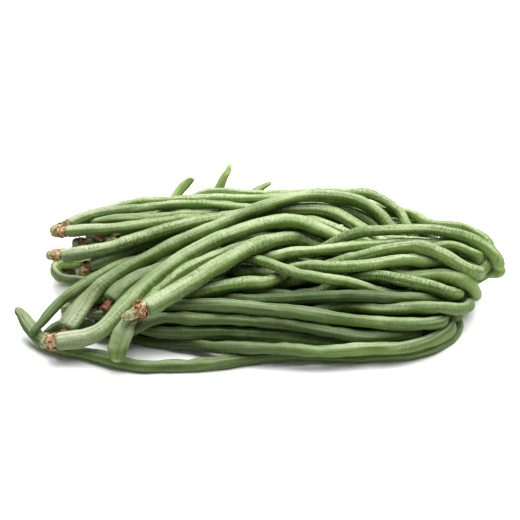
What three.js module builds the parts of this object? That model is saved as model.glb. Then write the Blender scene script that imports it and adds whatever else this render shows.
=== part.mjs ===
// A bunch of yardlong beans, lying in a heap. Each bean is a soft pod 36 to 66 cm long, folded once near
// its middle, so the folds gather at +X and the stem ends and tips at -X. The heap is laid by hand as
// routes, and the pods then settle until they lie against each other and on the ground without crossing.
// Millimetres, +Z up, the ground at z = 0, the origin under the middle of the heap.
import * as THREE from "three";

// ---- driving dimensions -------------------------------------------------------------------------

const SIDES = 8; // sides of a pod's or a stem end's section
const POD_BEND_ERROR = 0.4; // how far a pod's straight facets may cut inside its curve
const POD_RING_LEAST = 6; // the shortest and the longest facet along a pod
const POD_RING_MOST = 30;
const RING_PROBE = 1.5; // the step in which a facet's length is chosen
const SKIN_GAP = 0.55; // air kept between two pods
const NECK_GAP = 0.3; // air between a pod's blunt end and its stem end
const STEM_LENGTH = 9; // calyx and stalk stub together, before the pod
const LONG_STEM_LENGTH = 14; // where the stalk was cut further from the pod
const CALYX_LENGTH = 6;
const STALK_RADIUS = 1.9;
const CALYX_TOOTH = 1.6; // depth of the notches in the calyx's rim
const CALYX_SHARE = 0.92; // width of the calyx to that of its pod
const STALK_RINGS = [
  { distance: 0.3, share: 1 }, // the cut end
  { distance: 1.4, share: 0.9 },
  { distance: 2.2, share: 1.35 }, // the ridge where a bract fell off
  { distance: 3, share: 0.9 },
]; // width of the stalk to its own, from its cut end
const CALYX_ROOT_SHARE = 1.1; // width of the calyx where it leaves the stalk, to the stalk's
const CALYX_SHOULDER = { distance: 1.6, share: 0.8 }; // past its root, and width there to the rim's
const STEM_END_TAPER = { share: 0.86, over: 6 }; // how narrow a pod starts, and how soon it is full
const TIP_TAPER = { share: 0.62, over: 11 }; // how narrow it gets at its tip, and from how far back
const BLUNT_CAP = { depth: 0.6, share: 0.7, behind: 2.5 }; // the rounding of the end at the calyx
const TIP_CAP = { depth: 1.2, share: 0.75, behind: 4 }; // the rounding of the tip
const FOOT_DEPTH = 0.35; // how far a pod that lies on the ground is pressed flat
const GREEN = { color: 0x82965c, roughness: 0.5, metalness: 0 };
const BROWN = { color: 0x9a7a4f, roughness: 0.85, metalness: 0 };

// The side that shows is laid out as it is looked at from EYE: a shown point is its distance across and
// up the plane through AIM square to the look, and its height above the ground.
const LOOK_ANGLE = THREE.MathUtils.degToRad(35);
const LOOK_DISTANCE = 900;
const AIM = new THREE.Vector3(0, 30, 20);
const LOOK_UP = new THREE.Vector3(0, Math.sin(LOOK_ANGLE), Math.cos(LOOK_ANGLE));
const LOOK_BACK = new THREE.Vector3(0, -Math.cos(LOOK_ANGLE), Math.sin(LOOK_ANGLE));
const EYE = AIM.clone().addScaledVector(LOOK_BACK, LOOK_DISTANCE);

// ---- the beans ----------------------------------------------------------------------------------

// A stretch on the side that shows, from [across, up the look plane, height] points.
function shown(...points) {
  return points.map(([across, up, height]) => {
    const onPlane = AIM.clone().addScaledVector(LOOK_UP, up);
    onPlane.x += across;
    const ray = onPlane.sub(EYE);
    const at = EYE.clone().addScaledVector(ray, (height - EYE.z) / ray.z);
    return { at, shows: true };
  });
}

// A stretch inside or behind the heap, from [x, y, z] points.
function buried(...points) {
  return points.map(([x, y, z]) => ({ at: new THREE.Vector3(x, y, z), shows: false }));
}

// Every bean, from its stem end to its tip. widths are the pod's width at its stem end, middle and tip.
const BEANS = [
  {
    widths: [10.4, 7.6, 5.6],
    stem: LONG_STEM_LENGTH,
    route: [
      shown([-71, -32, 28], [-54, -24, 32], [-36, -14, 36], [-18, -4, 40], [0, 5, 42], [18, 11, 41]),
      shown([26, 11, 38], [34, 8, 35]),
      buried([46, 20, 27], [68, 20, 22], [90, 18, 19], [108, 10, 18], [119, 0, 19]),
      shown([124, -22, 22], [111, -20, 26], [93, -17, 29], [75, -15, 30], [55, -14, 28]),
      buried([36, -9, 24], [-20, -6, 20], [-70, -6, 16], [-90, -6, 15]),
    ],
  },
  {
    widths: [10.2, 7.8, 6],
    route: [
      shown([-122, -50, 13], [-103, -49, 14], [-94, -46, 16], [-85, -39, 19], [-77, -31, 22]),
      shown([-68, -22, 26], [-51, -6, 34], [-33, 5, 39], [-12, 14, 43], [9, 20, 45], [19, 20, 44]),
      shown([28, 17, 42], [36, 13, 38], [45, 8, 34]),
      buried([66, 8, 29], [78, -1, 28]),
      shown([87, -12, 27], [105, -13, 27], [113, -14, 27], [119, -16, 25], [122, -18, 22]),
      buried([124, 0, 17], [118, 11, 12], [104, 18, 10], [70, 19, 10], [24, 14, 11], [-30, 12, 11]),
      buried([-80, 10, 11], [-112, 14, 10]),
    ],
  },
  {
    widths: [8.2, 7.4, 7],
    route: [
      shown([-120, 3, 32], [-99, 4, 34], [-87, 6, 36], [-75, 10, 38], [-51, 16, 40], [-29, 22, 41]),
      shown([-9, 25, 42], [15, 28, 42], [35, 28, 40], [45, 25, 38], [54, 20, 36], [68, 11, 31]),
      buried([80, 28, 29], [96, 26, 27], [112, 21, 26], [125, 13, 25], [130, 4, 26]),
      shown([127, -10, 29], [114, -5, 34], [105, -2, 36], [95, 1, 38], [84, 2, 38], [72, 1, 38]),
      shown([51, -2, 35], [41, -4, 32]),
      buried([20, 1, 26], [-50, 4, 22], [-85, 6, 20], [-108, 4, 19]),
    ],
  },
  {
    widths: [9, 7.2, 5.6],
    broad: { end: "stem", wide: 1.45, thick: 0.62, reach: 34 },
    route: [
      shown([-115, -42, 14], [-110, -34, 17], [-104, -26, 20], [-97, -19, 24], [-89, -12, 27]),
      shown([-79, -6, 31], [-59, 4, 37], [-36, 15, 43], [-12, 25, 47], [-1, 29, 48], [9, 32, 49]),
      shown([30, 36, 49], [42, 36, 48], [53, 35, 47], [61, 32, 45], [69, 28, 42], [75, 22, 39]),
      shown([79, 17, 35]),
      buried([88, 33, 28], [102, 29, 24], [115, 25, 21], [126, 18, 21], [131, 10, 24]),
      shown([130, -8, 27], [126, -5, 30], [120, -2, 33], [112, 0, 35]),
      buried([100, 7, 32], [78, 9, 29], [50, 12, 26], [-30, 10, 22], [-70, 8, 20], [-100, 10, 19]),
    ],
  },
  {
    widths: [5.8, 6.6, 5.4],
    route: [
      shown([-118, 20, 29], [-113, 22, 30], [-102, 26, 32], [-90, 29, 35], [-78, 31, 37]),
      shown([-54, 33, 39], [-30, 35, 41], [6, 36, 41], [30, 37, 41], [42, 37, 41], [54, 36, 41]),
      shown([65, 35, 40], [75, 31, 38], [83, 26, 36], [88, 21, 33], [91, 14, 30]),
      buried([96, 34, 23], [103, 27, 17], [98, 20, 14], [80, 22, 14], [50, 25, 16], [24, 26, 18]),
      buried([-20, 26, 18], [-60, 26, 17], [-100, 28, 15]),
    ],
  },
  {
    widths: [5.8, 6.8, 8.6],
    route: [
      shown([-115, 21, 31], [-108, 24, 33], [-89, 28, 37], [-66, 31, 39], [-42, 32, 41], [-19, 32, 41]),
      shown([3, 30, 40], [27, 32, 42], [39, 32, 42], [51, 31, 41], [60, 29, 39], [68, 25, 37]),
      shown([74, 20, 34], [78, 16, 31]),
      buried([88, 27, 25], [102, 22, 22], [114, 14, 22], [118, 5, 24], [113, -3, 28]),
      shown([108, -7, 31], [99, -7, 33], [90, -7, 34], [66, -7, 34], [42, -8, 33], [18, -7, 30]),
      buried([5, -5, 28], [-20, -6, 26], [-50, -8, 24], [-80, -6, 22], [-104, -2, 20]),
    ],
  },
  {
    widths: [7.2, 6.6, 6.6],
    route: [
      shown([-116, 17, 31], [-93, 18, 35], [-69, 21, 38], [-57, 23, 39], [-45, 25, 40], [-36, 25, 40]),
      shown([-27, 24, 39], [-15, 22, 38], [9, 23, 38], [21, 22, 38], [33, 21, 37], [42, 17, 35]),
      shown([51, 13, 32], [59, 9, 29]),
      buried([74, 20, 24], [90, 17, 21], [104, 9, 20], [108, 0, 20], [102, -9, 22], [90, -14, 24]),
      shown([82, -22, 25], [72, -19, 28], [60, -18, 30], [36, -16, 33], [12, -11, 33], [-8, -6, 29]),
      buried([-25, -8, 26], [-50, -4, 22], [-76, -4, 18]),
    ],
  },
  {
    widths: [6, 5.8, 6],
    route: [
      buried([-100, 66, 24], [-84, 66, 28], [-66, 68, 32], [-46, 69, 36]),
      shown([-36, 40, 40], [-24, 41, 41], [-12, 40, 41], [12, 40, 40], [36, 40, 39], [48, 39, 38]),
      buried([62, 66, 33], [76, 58, 31], [90, 48, 30], [101, 39, 32], [103, 31, 35], [96, 27, 36]),
      buried([84, 30, 34], [66, 36, 33], [45, 42, 33], [24, 45, 33], [0, 46, 34]),
      shown([-13, 28, 38], [-36, 28, 40], [-60, 27, 39], [-84, 26, 37], [-94, 24, 36], [-101, 21, 34]),
    ],
  },
  {
    widths: [9, 7.2, 6.4],
    route: [
      shown([-101, -5, 25], [-93, -3, 27], [-75, 4, 31], [-57, 9, 34], [-48, 11, 34]),
      buried([-34, 26, 33], [-10, 32, 31], [24, 36, 28], [50, 30, 24], [70, 24, 19], [88, 17, 15]),
      buried([98, 8, 13], [94, -2, 14], [78, -9, 17], [50, -13, 20]),
      shown([15, -20, 23], [5, -18, 26], [-3, -17, 28], [-12, -15, 28], [-19, -13, 27]),
      buried([-32, -9, 27], [-50, -4, 25]),
    ],
  },
  {
    widths: [8.6, 7.2, 7],
    route: [
      shown([-89, -28, 21], [-83, -21, 24], [-75, -15, 27], [-66, -9, 30], [-55, -4, 33], [-34, 2, 34]),
      buried([-12, 8, 33], [10, 7, 31], [34, 6, 28], [60, 6, 24], [85, 6, 20], [103, 3, 17]),
      buried([114, -3, 16]),
      shown([124, -24, 16], [123, -28, 16], [118, -31, 17], [109, -33, 18], [96, -32, 19]),
      shown([73, -31, 20], [63, -29, 20], [45, -26, 20]),
      buried([24, -20, 18], [-5, -15, 15], [-40, -12, 13], [-75, -10, 11]),
    ],
  },
  {
    widths: [6.6, 6.6, 6.8],
    stem: LONG_STEM_LENGTH,
    broad: { end: "tip", wide: 1.75, thick: 0.55, reach: 34 },
    route: [
      shown([-94, 11, 27]),
      buried([-75, 22, 26], [-50, 24, 24], [-20, 22, 22], [10, 20, 22], [34, 20, 28]),
      shown([51, 8, 37], [66, 10, 40], [78, 12, 42], [87, 13, 42], [98, 13, 42], [109, 11, 41]),
      shown([118, 9, 40], [126, 6, 37], [133, 2, 34], [137, -3, 30], [138, -7, 26], [134, -11, 22]),
      buried([131, 13, 22], [113, 13, 22], [90, 13, 22], [60, 13, 25], [30, 14, 29], [12, 14, 31]),
      shown([1, 11, 33], [-9, 7, 34], [-21, 2, 34], [-33, -4, 32], [-44, -10, 29], [-54, -18, 26]),
      shown([-63, -24, 23], [-71, -31, 23], [-77, -37, 23], [-82, -46, 21], [-85, -54, 17]),
      shown([-86, -62, 12]),
    ],
  },
  {
    widths: [7, 6.6, 7.4],
    route: [
      shown([-83, 14, 28], [-73, 13, 28], [-63, 9, 28], [-53, 4, 29], [-42, 3, 30], [-30, 1, 30]),
      shown([-15, -4, 31], [-1, -5, 33], [12, -1, 35], [24, 1, 37], [45, 5, 40], [66, 8, 41]),
      shown([87, 8, 41], [96, 6, 40], [114, 5, 39], [122, 3, 36], [128, 0, 33], [133, -4, 29]),
      shown([133, -8, 25]),
      buried([129, 14, 20], [120, 19, 17], [108, 18, 15], [75, 14, 16], [40, 16, 20], [5, 17, 23]),
      buried([-30, 15, 24], [-60, 10, 25]),
      shown([-75, -5, 27], [-92, -12, 25], [-112, -23, 20], [-120, -28, 17], [-128, -36, 13]),
      shown([-135, -44, 10], [-139, -48, 8]),
    ],
  },
  {
    widths: [7.6, 7.4, 7.8],
    broad: { end: "tip", wide: 1.1, thick: 0.8, reach: 40 },
    route: [
      buried([-110, 14, 4], [-96, 12, 4], [-80, 12, 4], [-40, 14, 4], [40, 15, 4]),
      buried([75, 13, 4], [98, 7, 4], [112, -3, 4]),
      shown([114, -33, 5], [114, -38, 4], [111, -42, 4], [105, -46, 4], [96, -49, 4], [84, -51, 4]),
      shown([60, -53, 4], [36, -53, 4], [24, -53, 4], [12, -54, 4], [-24, -59, 4], [-48, -61, 4]),
      shown([-72, -62, 4], [-96, -58, 4], [-120, -53, 4], [-129, -50, 5], [-136, -44, 8]),
      shown([-140, -37, 11], [-144, -31, 15], [-147, -28, 17]),
    ],
  },
  {
    widths: [7.2, 7.4, 6.4],
    route: [
      buried([-96, -2, 11], [-70, 0, 11], [-20, 4, 11], [30, 6, 11], [70, 5, 11], [96, 0, 11]),
      buried([109, -9, 11]),
      shown([116, -32, 10], [115, -37, 9], [108, -42, 8], [96, -47, 8], [84, -50, 8], [60, -52, 9]),
      shown([36, -54, 10], [12, -54, 10], [-12, -54, 8], [-24, -54, 7], [-36, -52, 6], [-48, -50, 6]),
      shown([-69, -47, 6], [-91, -42, 6], [-103, -38, 6], [-114, -37, 6], [-124, -39, 5], [-130, -43, 5]),
    ],
  },
  {
    widths: [7.4, 8.6, 7.4],
    route: [
      buried([-92, -12, 10], [-60, -8, 15], [-20, -8, 17], [24, -8, 17], [60, -8, 16], [84, -12, 13]),
      buried([94, -22, 11], [88, -31, 10], [70, -36, 9]),
      shown([51, -50, 9], [42, -49, 10], [30, -47, 10], [18, -46, 11], [-6, -43, 12], [-30, -42, 12]),
      shown([-42, -42, 12], [-66, -41, 11], [-77, -39, 11], [-101, -34, 10]),
    ],
  },
  {
    widths: [7, 7.8, 7.4],
    route: [
      buried([-84, -22, 8], [-60, -20, 12], [-20, -19, 13], [24, -19, 13], [60, -19, 13], [90, -17, 13]),
      buried([105, -15, 15]),
      shown([112, -34, 14], [107, -37, 13], [96, -39, 13], [84, -39, 15], [60, -37, 18], [36, -34, 21]),
      shown([24, -32, 23], [0, -30, 24], [-24, -29, 25], [-47, -27, 24], [-57, -26, 23], [-67, -24, 21]),
      buried([-78, -18, 19]),
    ],
  },
  {
    widths: [6.8, 7.6, 7],
    route: [
      buried([-90, -14, 4], [-50, -16, 8], [-10, -17, 10], [24, -17, 10], [60, -17, 9], [88, -21, 9]),
      buried([99, -28, 9]),
      shown([96, -43, 10], [87, -44, 11], [78, -45, 12], [66, -45, 13], [54, -44, 15], [42, -42, 16]),
      shown([30, -40, 17], [0, -36, 18], [-36, -33, 18], [-60, -31, 17]),
      buried([-76, -24, 16], [-90, -20, 14]),
    ],
  },
  {
    widths: [7, 7.6, 7.4],
    route: [
      buried([-92, 20, 17], [-50, 18, 17], [-10, 16, 17], [24, 15, 17], [60, 12, 17], [90, 7, 13]),
      buried([108, 0, 12], [117, -8, 14]),
      shown([112, -23, 18], [106, -23, 20], [99, -24, 22], [81, -24, 25], [57, -23, 26], [33, -22, 27]),
      shown([9, -22, 28], [-15, -21, 27], [-26, -20, 26]),
      buried([-40, -14, 25], [-56, -8, 22]),
    ],
  },
  {
    widths: [6.6, 6.2, 5.4],
    route: [
      buried([-100, 58, 19], [-76, 62, 22], [-40, 64, 25], [0, 64, 27], [40, 62, 29], [70, 54, 32]),
      buried([88, 50, 31]),
      shown([102, 13, 35], [111, 13, 37], [120, 12, 36], [129, 9, 34], [136, 5, 32], [141, 1, 29]),
      shown([142, -3, 26], [141, -6, 23], [136, -10, 21], [130, -12, 20]),
      buried([120, 9, 14], [95, 4, 14], [60, 2, 16], [24, 0, 18], [-20, 2, 17], [-60, 6, 15]),
      buried([-95, 10, 12]),
      shown([-110, -15, 11], [-118, -14, 12], [-123, -11, 13], [-124, -7, 14], [-118, -5, 15]),
      buried([-104, 31, 16], [-92, 42, 20], [-76, 54, 27], [-60, 63, 34]),
      shown([-49, 41, 42], [-45, 45, 46], [-40, 49, 51]),
    ],
  },
  {
    widths: [6.4, 6, 5.2],
    route: [
      buried([-98, 74, 10], [-70, 72, 16], [-30, 71, 20], [10, 70, 22], [45, 67, 24], [72, 56, 28]),
      buried([92, 42, 33]),
      shown([100, 12, 35], [111, 12, 35], [120, 10, 33], [128, 7, 31], [134, 3, 28], [137, -1, 26]),
      shown([138, -5, 22], [135, -9, 19]),
      buried([126, 20, 12], [108, 26, 11], [70, 28, 11], [24, 30, 11], [-30, 28, 11], [-75, 28, 9]),
      buried([-104, 32, 8], [-118, 42, 8], [-112, 54, 10], [-90, 64, 16], [-60, 71, 24], [-36, 74, 32]),
      shown([-25, 42, 40], [-22, 47, 46], [-20, 52, 51], [-18, 57, 56]),
    ],
  },
  {
    widths: [6.8, 6.4, 5.4],
    route: [
      buried([-96, 84, 4], [-60, 82, 11], [-20, 80, 16], [20, 78, 18], [55, 72, 20], [84, 60, 22]),
      buried([106, 44, 22], [116, 30, 18], [112, 20, 10], [96, 26, 6], [60, 34, 5], [20, 38, 4]),
      buried([-30, 38, 4], [-80, 40, 4], [-106, 46, 5], [-112, 56, 5], [-100, 66, 6], [-70, 74, 12]),
      buried([-40, 78, 20], [-14, 77, 29]),
      shown([-5, 41, 39], [1, 44, 42], [7, 47, 46]),
    ],
  },
  {
    widths: [7, 7.2, 6],
    route: [
      buried([-109, 2, 5], [-94, 1, 5], [-60, -3, 4], [-10, -6, 4], [40, -7, 4], [75, -10, 4], [92, -19, 4]),
      buried([90, -27, 5], [70, -29, 4], [30, -28, 4], [-10, -26, 5]),
      shown([-39, -37, 11], [-48, -36, 12], [-57, -36, 13], [-66, -37, 12], [-75, -35, 12]),
      shown([-87, -31, 11]),
    ],
  },
  {
    widths: [7.6, 7, 5.8],
    route: [
      buried([-104, 42, 26], [-78, 44, 26], [-30, 48, 26], [10, 50, 26], [45, 46, 26], [72, 40, 22]),
      buried([92, 36, 14], [96, 44, 6], [80, 52, 4], [40, 54, 4], [0, 54, 4], [-50, 52, 4], [-96, 58, 4]),
    ],
  },
  {
    widths: [7.4, 7, 6],
    route: [
      buried([-100, 24, 8], [-75, 34, 11], [-40, 44, 13], [0, 46, 15], [40, 46, 15], [70, 44, 13]),
      buried([88, 54, 8], [84, 66, 5], [60, 70, 4], [20, 70, 4], [-30, 70, 4], [-76, 74, 4]),
    ],
  },
  {
    widths: [7.2, 6.8, 5.6],
    route: [
      buried([-94, 66, 14], [-60, 62, 13], [-20, 60, 15], [20, 60, 17], [56, 58, 17], [82, 70, 9]),
      buried([78, 82, 5], [52, 86, 4], [10, 88, 4], [-40, 88, 4], [-84, 92, 4]),
    ],
  },
  {
    widths: [7, 6.6, 5.6],
    route: [
      buried([-117, 33, 12], [-106, 31, 8], [-95, 31, 5], [-80, 30, 4], [-40, 26, 4]),
      buried([10, 26, 4], [60, 24, 4], [96, 34, 4]),
      buried([112, 46, 5], [108, 58, 8], [84, 64, 12], [50, 68, 11], [10, 70, 11], [-30, 72, 11]),
      buried([-70, 76, 10], [-96, 82, 6]),
    ],
  },
  {
    widths: [6.4, 6.4, 5.6],
    route: [
      shown([-103, 22, 27], [-92, 24, 29], [-70, 28, 31], [-41, 30, 33], [-10, 31, 33], [20, 32, 33]),
      shown([49, 34, 33], [71, 33, 31], [84, 29, 29], [93, 24, 27]),
      buried([97, 67, 23], [91, 75, 20], [77, 79, 20], [60, 79, 24], [40, 79, 26], [0, 79, 27]),
      buried([-40, 80, 25]),
      buried([-76, 79, 20], [-108, 80, 15]),
    ],
  },
];

// ---- settling the heap --------------------------------------------------------------------------

const ARC_STEPS = 1200; // how finely a curve's length is measured
const JOINT_SPACING = 9; // between the points of a bean's centreline as it settles
const SETTLE_STEPS = 420;
const EASE_STEPS = 140; // the last steps, in which nothing draws a bean back to its route
const EASE_PASSES = 4; // times the contacts are worked through in each of those
const CONTACT_REFRESH = 8; // steps between two searches for neighbours
const CONTACT_REACH = 5; // how far past touching that search looks
const OWN_SKIP = 4; // stretches of one bean nearer along it than this can't touch
const SHAPE_KEEP = 0.25; // how strongly a bean keeps the bends of its route
const HOLD_SHOWN = { across: 0.12, along: 0.02 }; // pull to the route, across and along the look
const HOLD_BURIED = { across: 0.012, along: 0.012 };
const WEIGHT_STEP = 0.01; // how far a free point sinks in a step

const lerp = THREE.MathUtils.lerp;
const smooth = THREE.MathUtils.smoothstep;

function stemLength(bean) {
  return bean.stem ?? STEM_LENGTH;
}

// Half the width of a bean at a distance from the far end of its stalk.
function halfWidth(bean, distance, length) {
  const podStart = stemLength(bean);
  if (distance < podStart - CALYX_LENGTH) return STALK_RADIUS;
  const [atStem, atMiddle, atTip] = bean.widths;
  if (distance < podStart) return (atStem / 2) * CALYX_SHARE;
  const share = (distance - podStart) / (length - podStart);
  const width = share < 0.5 ? lerp(atStem, atMiddle, share * 2) : lerp(atMiddle, atTip, share * 2 - 1);
  return width / 2;
}

// A bean as it settles: points along its centreline, each with its own place on the route.
function layRope(bean) {
  const points = bean.route.flat();
  const [first, second] = points;
  const stalkEnd = first.at.clone().sub(second.at).setLength(stemLength(bean)).add(first.at);
  const route = new THREE.CatmullRomCurve3([stalkEnd, ...points.map((p) => p.at)], false, "centripetal");
  route.arcLengthDivisions = ARC_STEPS;
  const length = route.getLength();
  const steps = Math.round(length / JOINT_SPACING);
  const guide = route.getSpacedPoints(steps);
  return {
    bean,
    guide,
    place: guide.map((p) => p.clone()),
    radius: guide.map((_, i) => halfWidth(bean, (length * i) / steps, length)),
    hold: guide.map((_, i) => {
      const nearest = Math.round(route.getUtoTmapping(i / steps) * points.length) - 1;
      return points[Math.max(nearest, 0)].shows ? HOLD_SHOWN : HOLD_BURIED;
    }),
  };
}

// Where segments a-b and c-d come nearest, as shares along each.
function nearestShares(a, b, c, d) {
  const ux = b.x - a.x, uy = b.y - a.y, uz = b.z - a.z;
  const vx = d.x - c.x, vy = d.y - c.y, vz = d.z - c.z;
  const wx = a.x - c.x, wy = a.y - c.y, wz = a.z - c.z;
  const uu = ux * ux + uy * uy + uz * uz;
  const vv = vx * vx + vy * vy + vz * vz;
  const uv = ux * vx + uy * vy + uz * vz;
  const uw = ux * wx + uy * wy + uz * wz;
  const vw = vx * wx + vy * wy + vz * wz;
  const clamp = (x) => Math.min(Math.max(x, 0), 1);
  const across = uu * vv - uv * uv;
  let s = across > 1e-9 ? clamp((uv * vw - vv * uw) / across) : 0.5;
  const t = clamp((uv * s + vw) / vv);
  s = clamp((uv * t - uw) / uu);
  return [s, t];
}

// Pairs of segments near enough to touch soon.
function findContacts(segments) {
  const contacts = [];
  for (let i = 0; i < segments.length; i++) {
    const p = segments[i];
    for (let j = i + 1; j < segments.length; j++) {
      const q = segments[j];
      if (p.rope === q.rope && q.index - p.index < OWN_SKIP) continue;
      const reach = p.girth + q.girth + JOINT_SPACING + CONTACT_REACH;
      const dx = p.a.x - q.a.x, dy = p.a.y - q.a.y, dz = p.a.z - q.a.z;
      if (dx * dx + dy * dy + dz * dz < reach * reach) contacts.push([p, q]);
    }
  }
  return contacts;
}

// Moves two segments that lie too near each other apart, each end by its share.
function pushApart(p, q) {
  const [s, t] = nearestShares(p.a, p.b, q.a, q.b);
  const dx = lerp(p.a.x, p.b.x, s) - lerp(q.a.x, q.b.x, t);
  const dy = lerp(p.a.y, p.b.y, s) - lerp(q.a.y, q.b.y, t);
  const dz = lerp(p.a.z, p.b.z, s) - lerp(q.a.z, q.b.z, t);
  const gap = Math.hypot(dx, dy, dz) || 1e-6;
  const wanted = lerp(p.ra, p.rb, s) + lerp(q.ra, q.rb, t) + SKIN_GAP;
  if (gap >= wanted) return;
  const shares = (1 - s) ** 2 + s ** 2 + (1 - t) ** 2 + t ** 2;
  const push = (wanted - gap) / (gap * shares);
  for (const [end, weight] of [[p.a, 1 - s], [p.b, s], [q.a, t - 1], [q.b, -t]]) {
    end.x += dx * push * weight;
    end.y += dy * push * weight;
    end.z += dz * push * weight;
  }
}

// Draws a rope to its route: firmly across the look where it shows, and softly along it.
function drawToRoute(rope) {
  rope.place.forEach((p, i) => {
    const away = rope.guide[i].clone().sub(p);
    const along = away.dot(LOOK_BACK);
    const { across, along: alongHold } = rope.hold[i];
    p.addScaledVector(away, across).addScaledVector(LOOK_BACK, along * (alongHold - across));
    p.z -= WEIGHT_STEP;
  });
}

// Keeps a rope's bends and its length.
function keepShape(rope) {
  const { place, guide } = rope;
  for (let i = 1; i < place.length - 1; i++) {
    const bend = place[i - 1].clone().add(place[i + 1]).multiplyScalar(0.5).sub(place[i]);
    const wanted = guide[i - 1].clone().add(guide[i + 1]).multiplyScalar(0.5).sub(guide[i]);
    place[i].addScaledVector(bend.sub(wanted), SHAPE_KEEP);
  }
  for (let i = 1; i < place.length; i++) {
    const span = place[i].clone().sub(place[i - 1]);
    const wanted = guide[i].distanceTo(guide[i - 1]);
    const change = span.multiplyScalar((0.5 * (span.length() - wanted)) / span.length());
    place[i - 1].add(change);
    place[i].sub(change);
  }
}

function keepOffGround(rope) {
  rope.place.forEach((p, i) => {
    p.z = Math.max(p.z, rope.radius[i] - FOOT_DEPTH);
  });
}

// Lets all the ropes settle together.
function settle(ropes) {
  const segments = ropes.flatMap((rope) =>
    rope.place.slice(1).map((b, i) => ({
      rope,
      index: i,
      a: rope.place[i],
      b,
      ra: rope.radius[i],
      rb: rope.radius[i + 1],
      girth: Math.max(rope.radius[i], rope.radius[i + 1]),
    })),
  );
  let contacts = [];
  for (let step = 0; step < SETTLE_STEPS; step++) {
    const easing = step >= SETTLE_STEPS - EASE_STEPS;
    if (!easing) ropes.forEach(drawToRoute);
    ropes.forEach(keepShape);
    if (step % CONTACT_REFRESH === 0) contacts = findContacts(segments);
    for (let pass = 0; pass < (easing ? EASE_PASSES : 1); pass++) {
      contacts.forEach(([p, q]) => pushApart(p, q));
      ropes.forEach(keepOffGround);
    }
  }
}

// ---- solids -------------------------------------------------------------------------------------

// A closed body along a curve. Each ring has its distance along the curve, half its width and half its
// thickness; tooth draws every second corner back along the curve.
function bodyAlong(curve, length, start, end, rings) {
  const at = (distance) => curve.getPointAt(THREE.MathUtils.clamp(distance / length, 0, 1));
  const corners = [];
  const addCorner = (p) => corners.push(p.x, p.y, Math.max(p.z, 0));
  addCorner(at(start));
  for (const { distance, wide, thick = wide, tooth = 0 } of rings) {
    const centre = at(distance);
    const along = curve.getTangentAt(THREE.MathUtils.clamp(distance / length, 0, 1));
    const side = new THREE.Vector3(-along.y, along.x, 0).normalize();
    const up = along.clone().cross(side);
    for (let k = 0; k < SIDES; k++) {
      const angle = (2 * Math.PI * (k + 0.5)) / SIDES;
      const corner = centre.clone().addScaledVector(side, wide * Math.cos(angle));
      corner.addScaledVector(up, thick * Math.sin(angle)).addScaledVector(along, k % 2 ? -tooth : 0);
      addCorner(corner);
    }
  }
  addCorner(at(end));
  const last = rings.length * SIDES + 1;
  const faces = [];
  for (let k = 0; k < SIDES; k++) {
    const next = (k + 1) % SIDES;
    faces.push(0, 1 + next, 1 + k, last, last - SIDES + k, last - SIDES + next);
    for (let r = 0; r < rings.length - 1; r++) {
      const low = 1 + r * SIDES;
      const high = low + SIDES;
      faces.push(low + k, low + next, high + next, low + k, high + next, high + k);
    }
  }
  const geometry = new THREE.BufferGeometry();
  geometry.setAttribute("position", new THREE.Float32BufferAttribute(corners, 3));
  geometry.setIndex(faces);
  geometry.computeVertexNormals();
  return geometry;
}

// Whether a curve stays near the straight line between two distances along it.
function staysStraight(curve, length, from, to) {
  const at = (distance) => curve.getPointAt(distance / length);
  const middle = at((from + to) / 2);
  const line = new THREE.Line3(at(from), at(to));
  return line.closestPointToPoint(middle, true, new THREE.Vector3()).distanceTo(middle) < POD_BEND_ERROR;
}

// The distances at which a pod needs a ring, so that straight facets stay near its curve.
function ringDistances(curve, length, from, to) {
  const distances = [from];
  let last = from;
  while (last < to) {
    let next = Math.min(last + POD_RING_LEAST, to);
    while (next < to && next - last < POD_RING_MOST) {
      const reach = Math.min(next + RING_PROBE, to);
      if (!staysStraight(curve, length, last, reach)) break;
      next = reach;
    }
    distances.push(next);
    last = next;
  }
  return distances;
}

// Half the width and half the thickness of a pod at a distance, with its blunt end and its pointed tip.
function podSection(bean, distance, length) {
  const fromStem = distance - stemLength(bean);
  const fromTip = length - distance;
  let half = halfWidth(bean, Math.max(distance, stemLength(bean)), length);
  half *= lerp(STEM_END_TAPER.share, 1, smooth(fromStem, 0, STEM_END_TAPER.over));
  half *= lerp(TIP_TAPER.share, 1, smooth(fromTip, 0, TIP_TAPER.over));
  if (!bean.broad) return { wide: half, thick: half };
  const { end, wide, thick, reach } = bean.broad;
  const near = 1 - smooth(end === "stem" ? fromStem : fromTip, reach / 2, reach);
  return { wide: half * lerp(1, wide, near), thick: half * lerp(1, thick, near) };
}

function podGeometry(bean, curve, length) {
  const start = stemLength(bean) + NECK_GAP;
  const rings = [];
  const addRing = (distance, scale) => {
    const { wide, thick } = podSection(bean, distance, length);
    rings.push({ distance, wide: wide * scale, thick: thick * scale });
  };
  const inner = ringDistances(curve, length, start + BLUNT_CAP.behind, length - TIP_CAP.behind);
  addRing(start + BLUNT_CAP.depth, BLUNT_CAP.share);
  inner.forEach((distance) => addRing(distance, 1));
  addRing(length - TIP_CAP.depth, TIP_CAP.share);
  return bodyAlong(curve, length, start, length, rings);
}

// The stalk stub with its ring scar, and the calyx with its ragged rim.
function stemEndGeometry(bean, curve, length) {
  const end = stemLength(bean);
  const root = end - CALYX_LENGTH;
  const rim = (bean.widths[0] / 2) * CALYX_SHARE;
  const rings = [
    ...STALK_RINGS.map(({ distance, share }) => ({ distance, wide: STALK_RADIUS * share })),
    { distance: root, wide: STALK_RADIUS * CALYX_ROOT_SHARE },
    { distance: root + CALYX_SHOULDER.distance, wide: rim * CALYX_SHOULDER.share },
    { distance: end, wide: rim, tooth: CALYX_TOOTH },
  ];
  return bodyAlong(curve, length, 0, end, rings);
}

// ---- the bunch ----------------------------------------------------------------------------------

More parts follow.
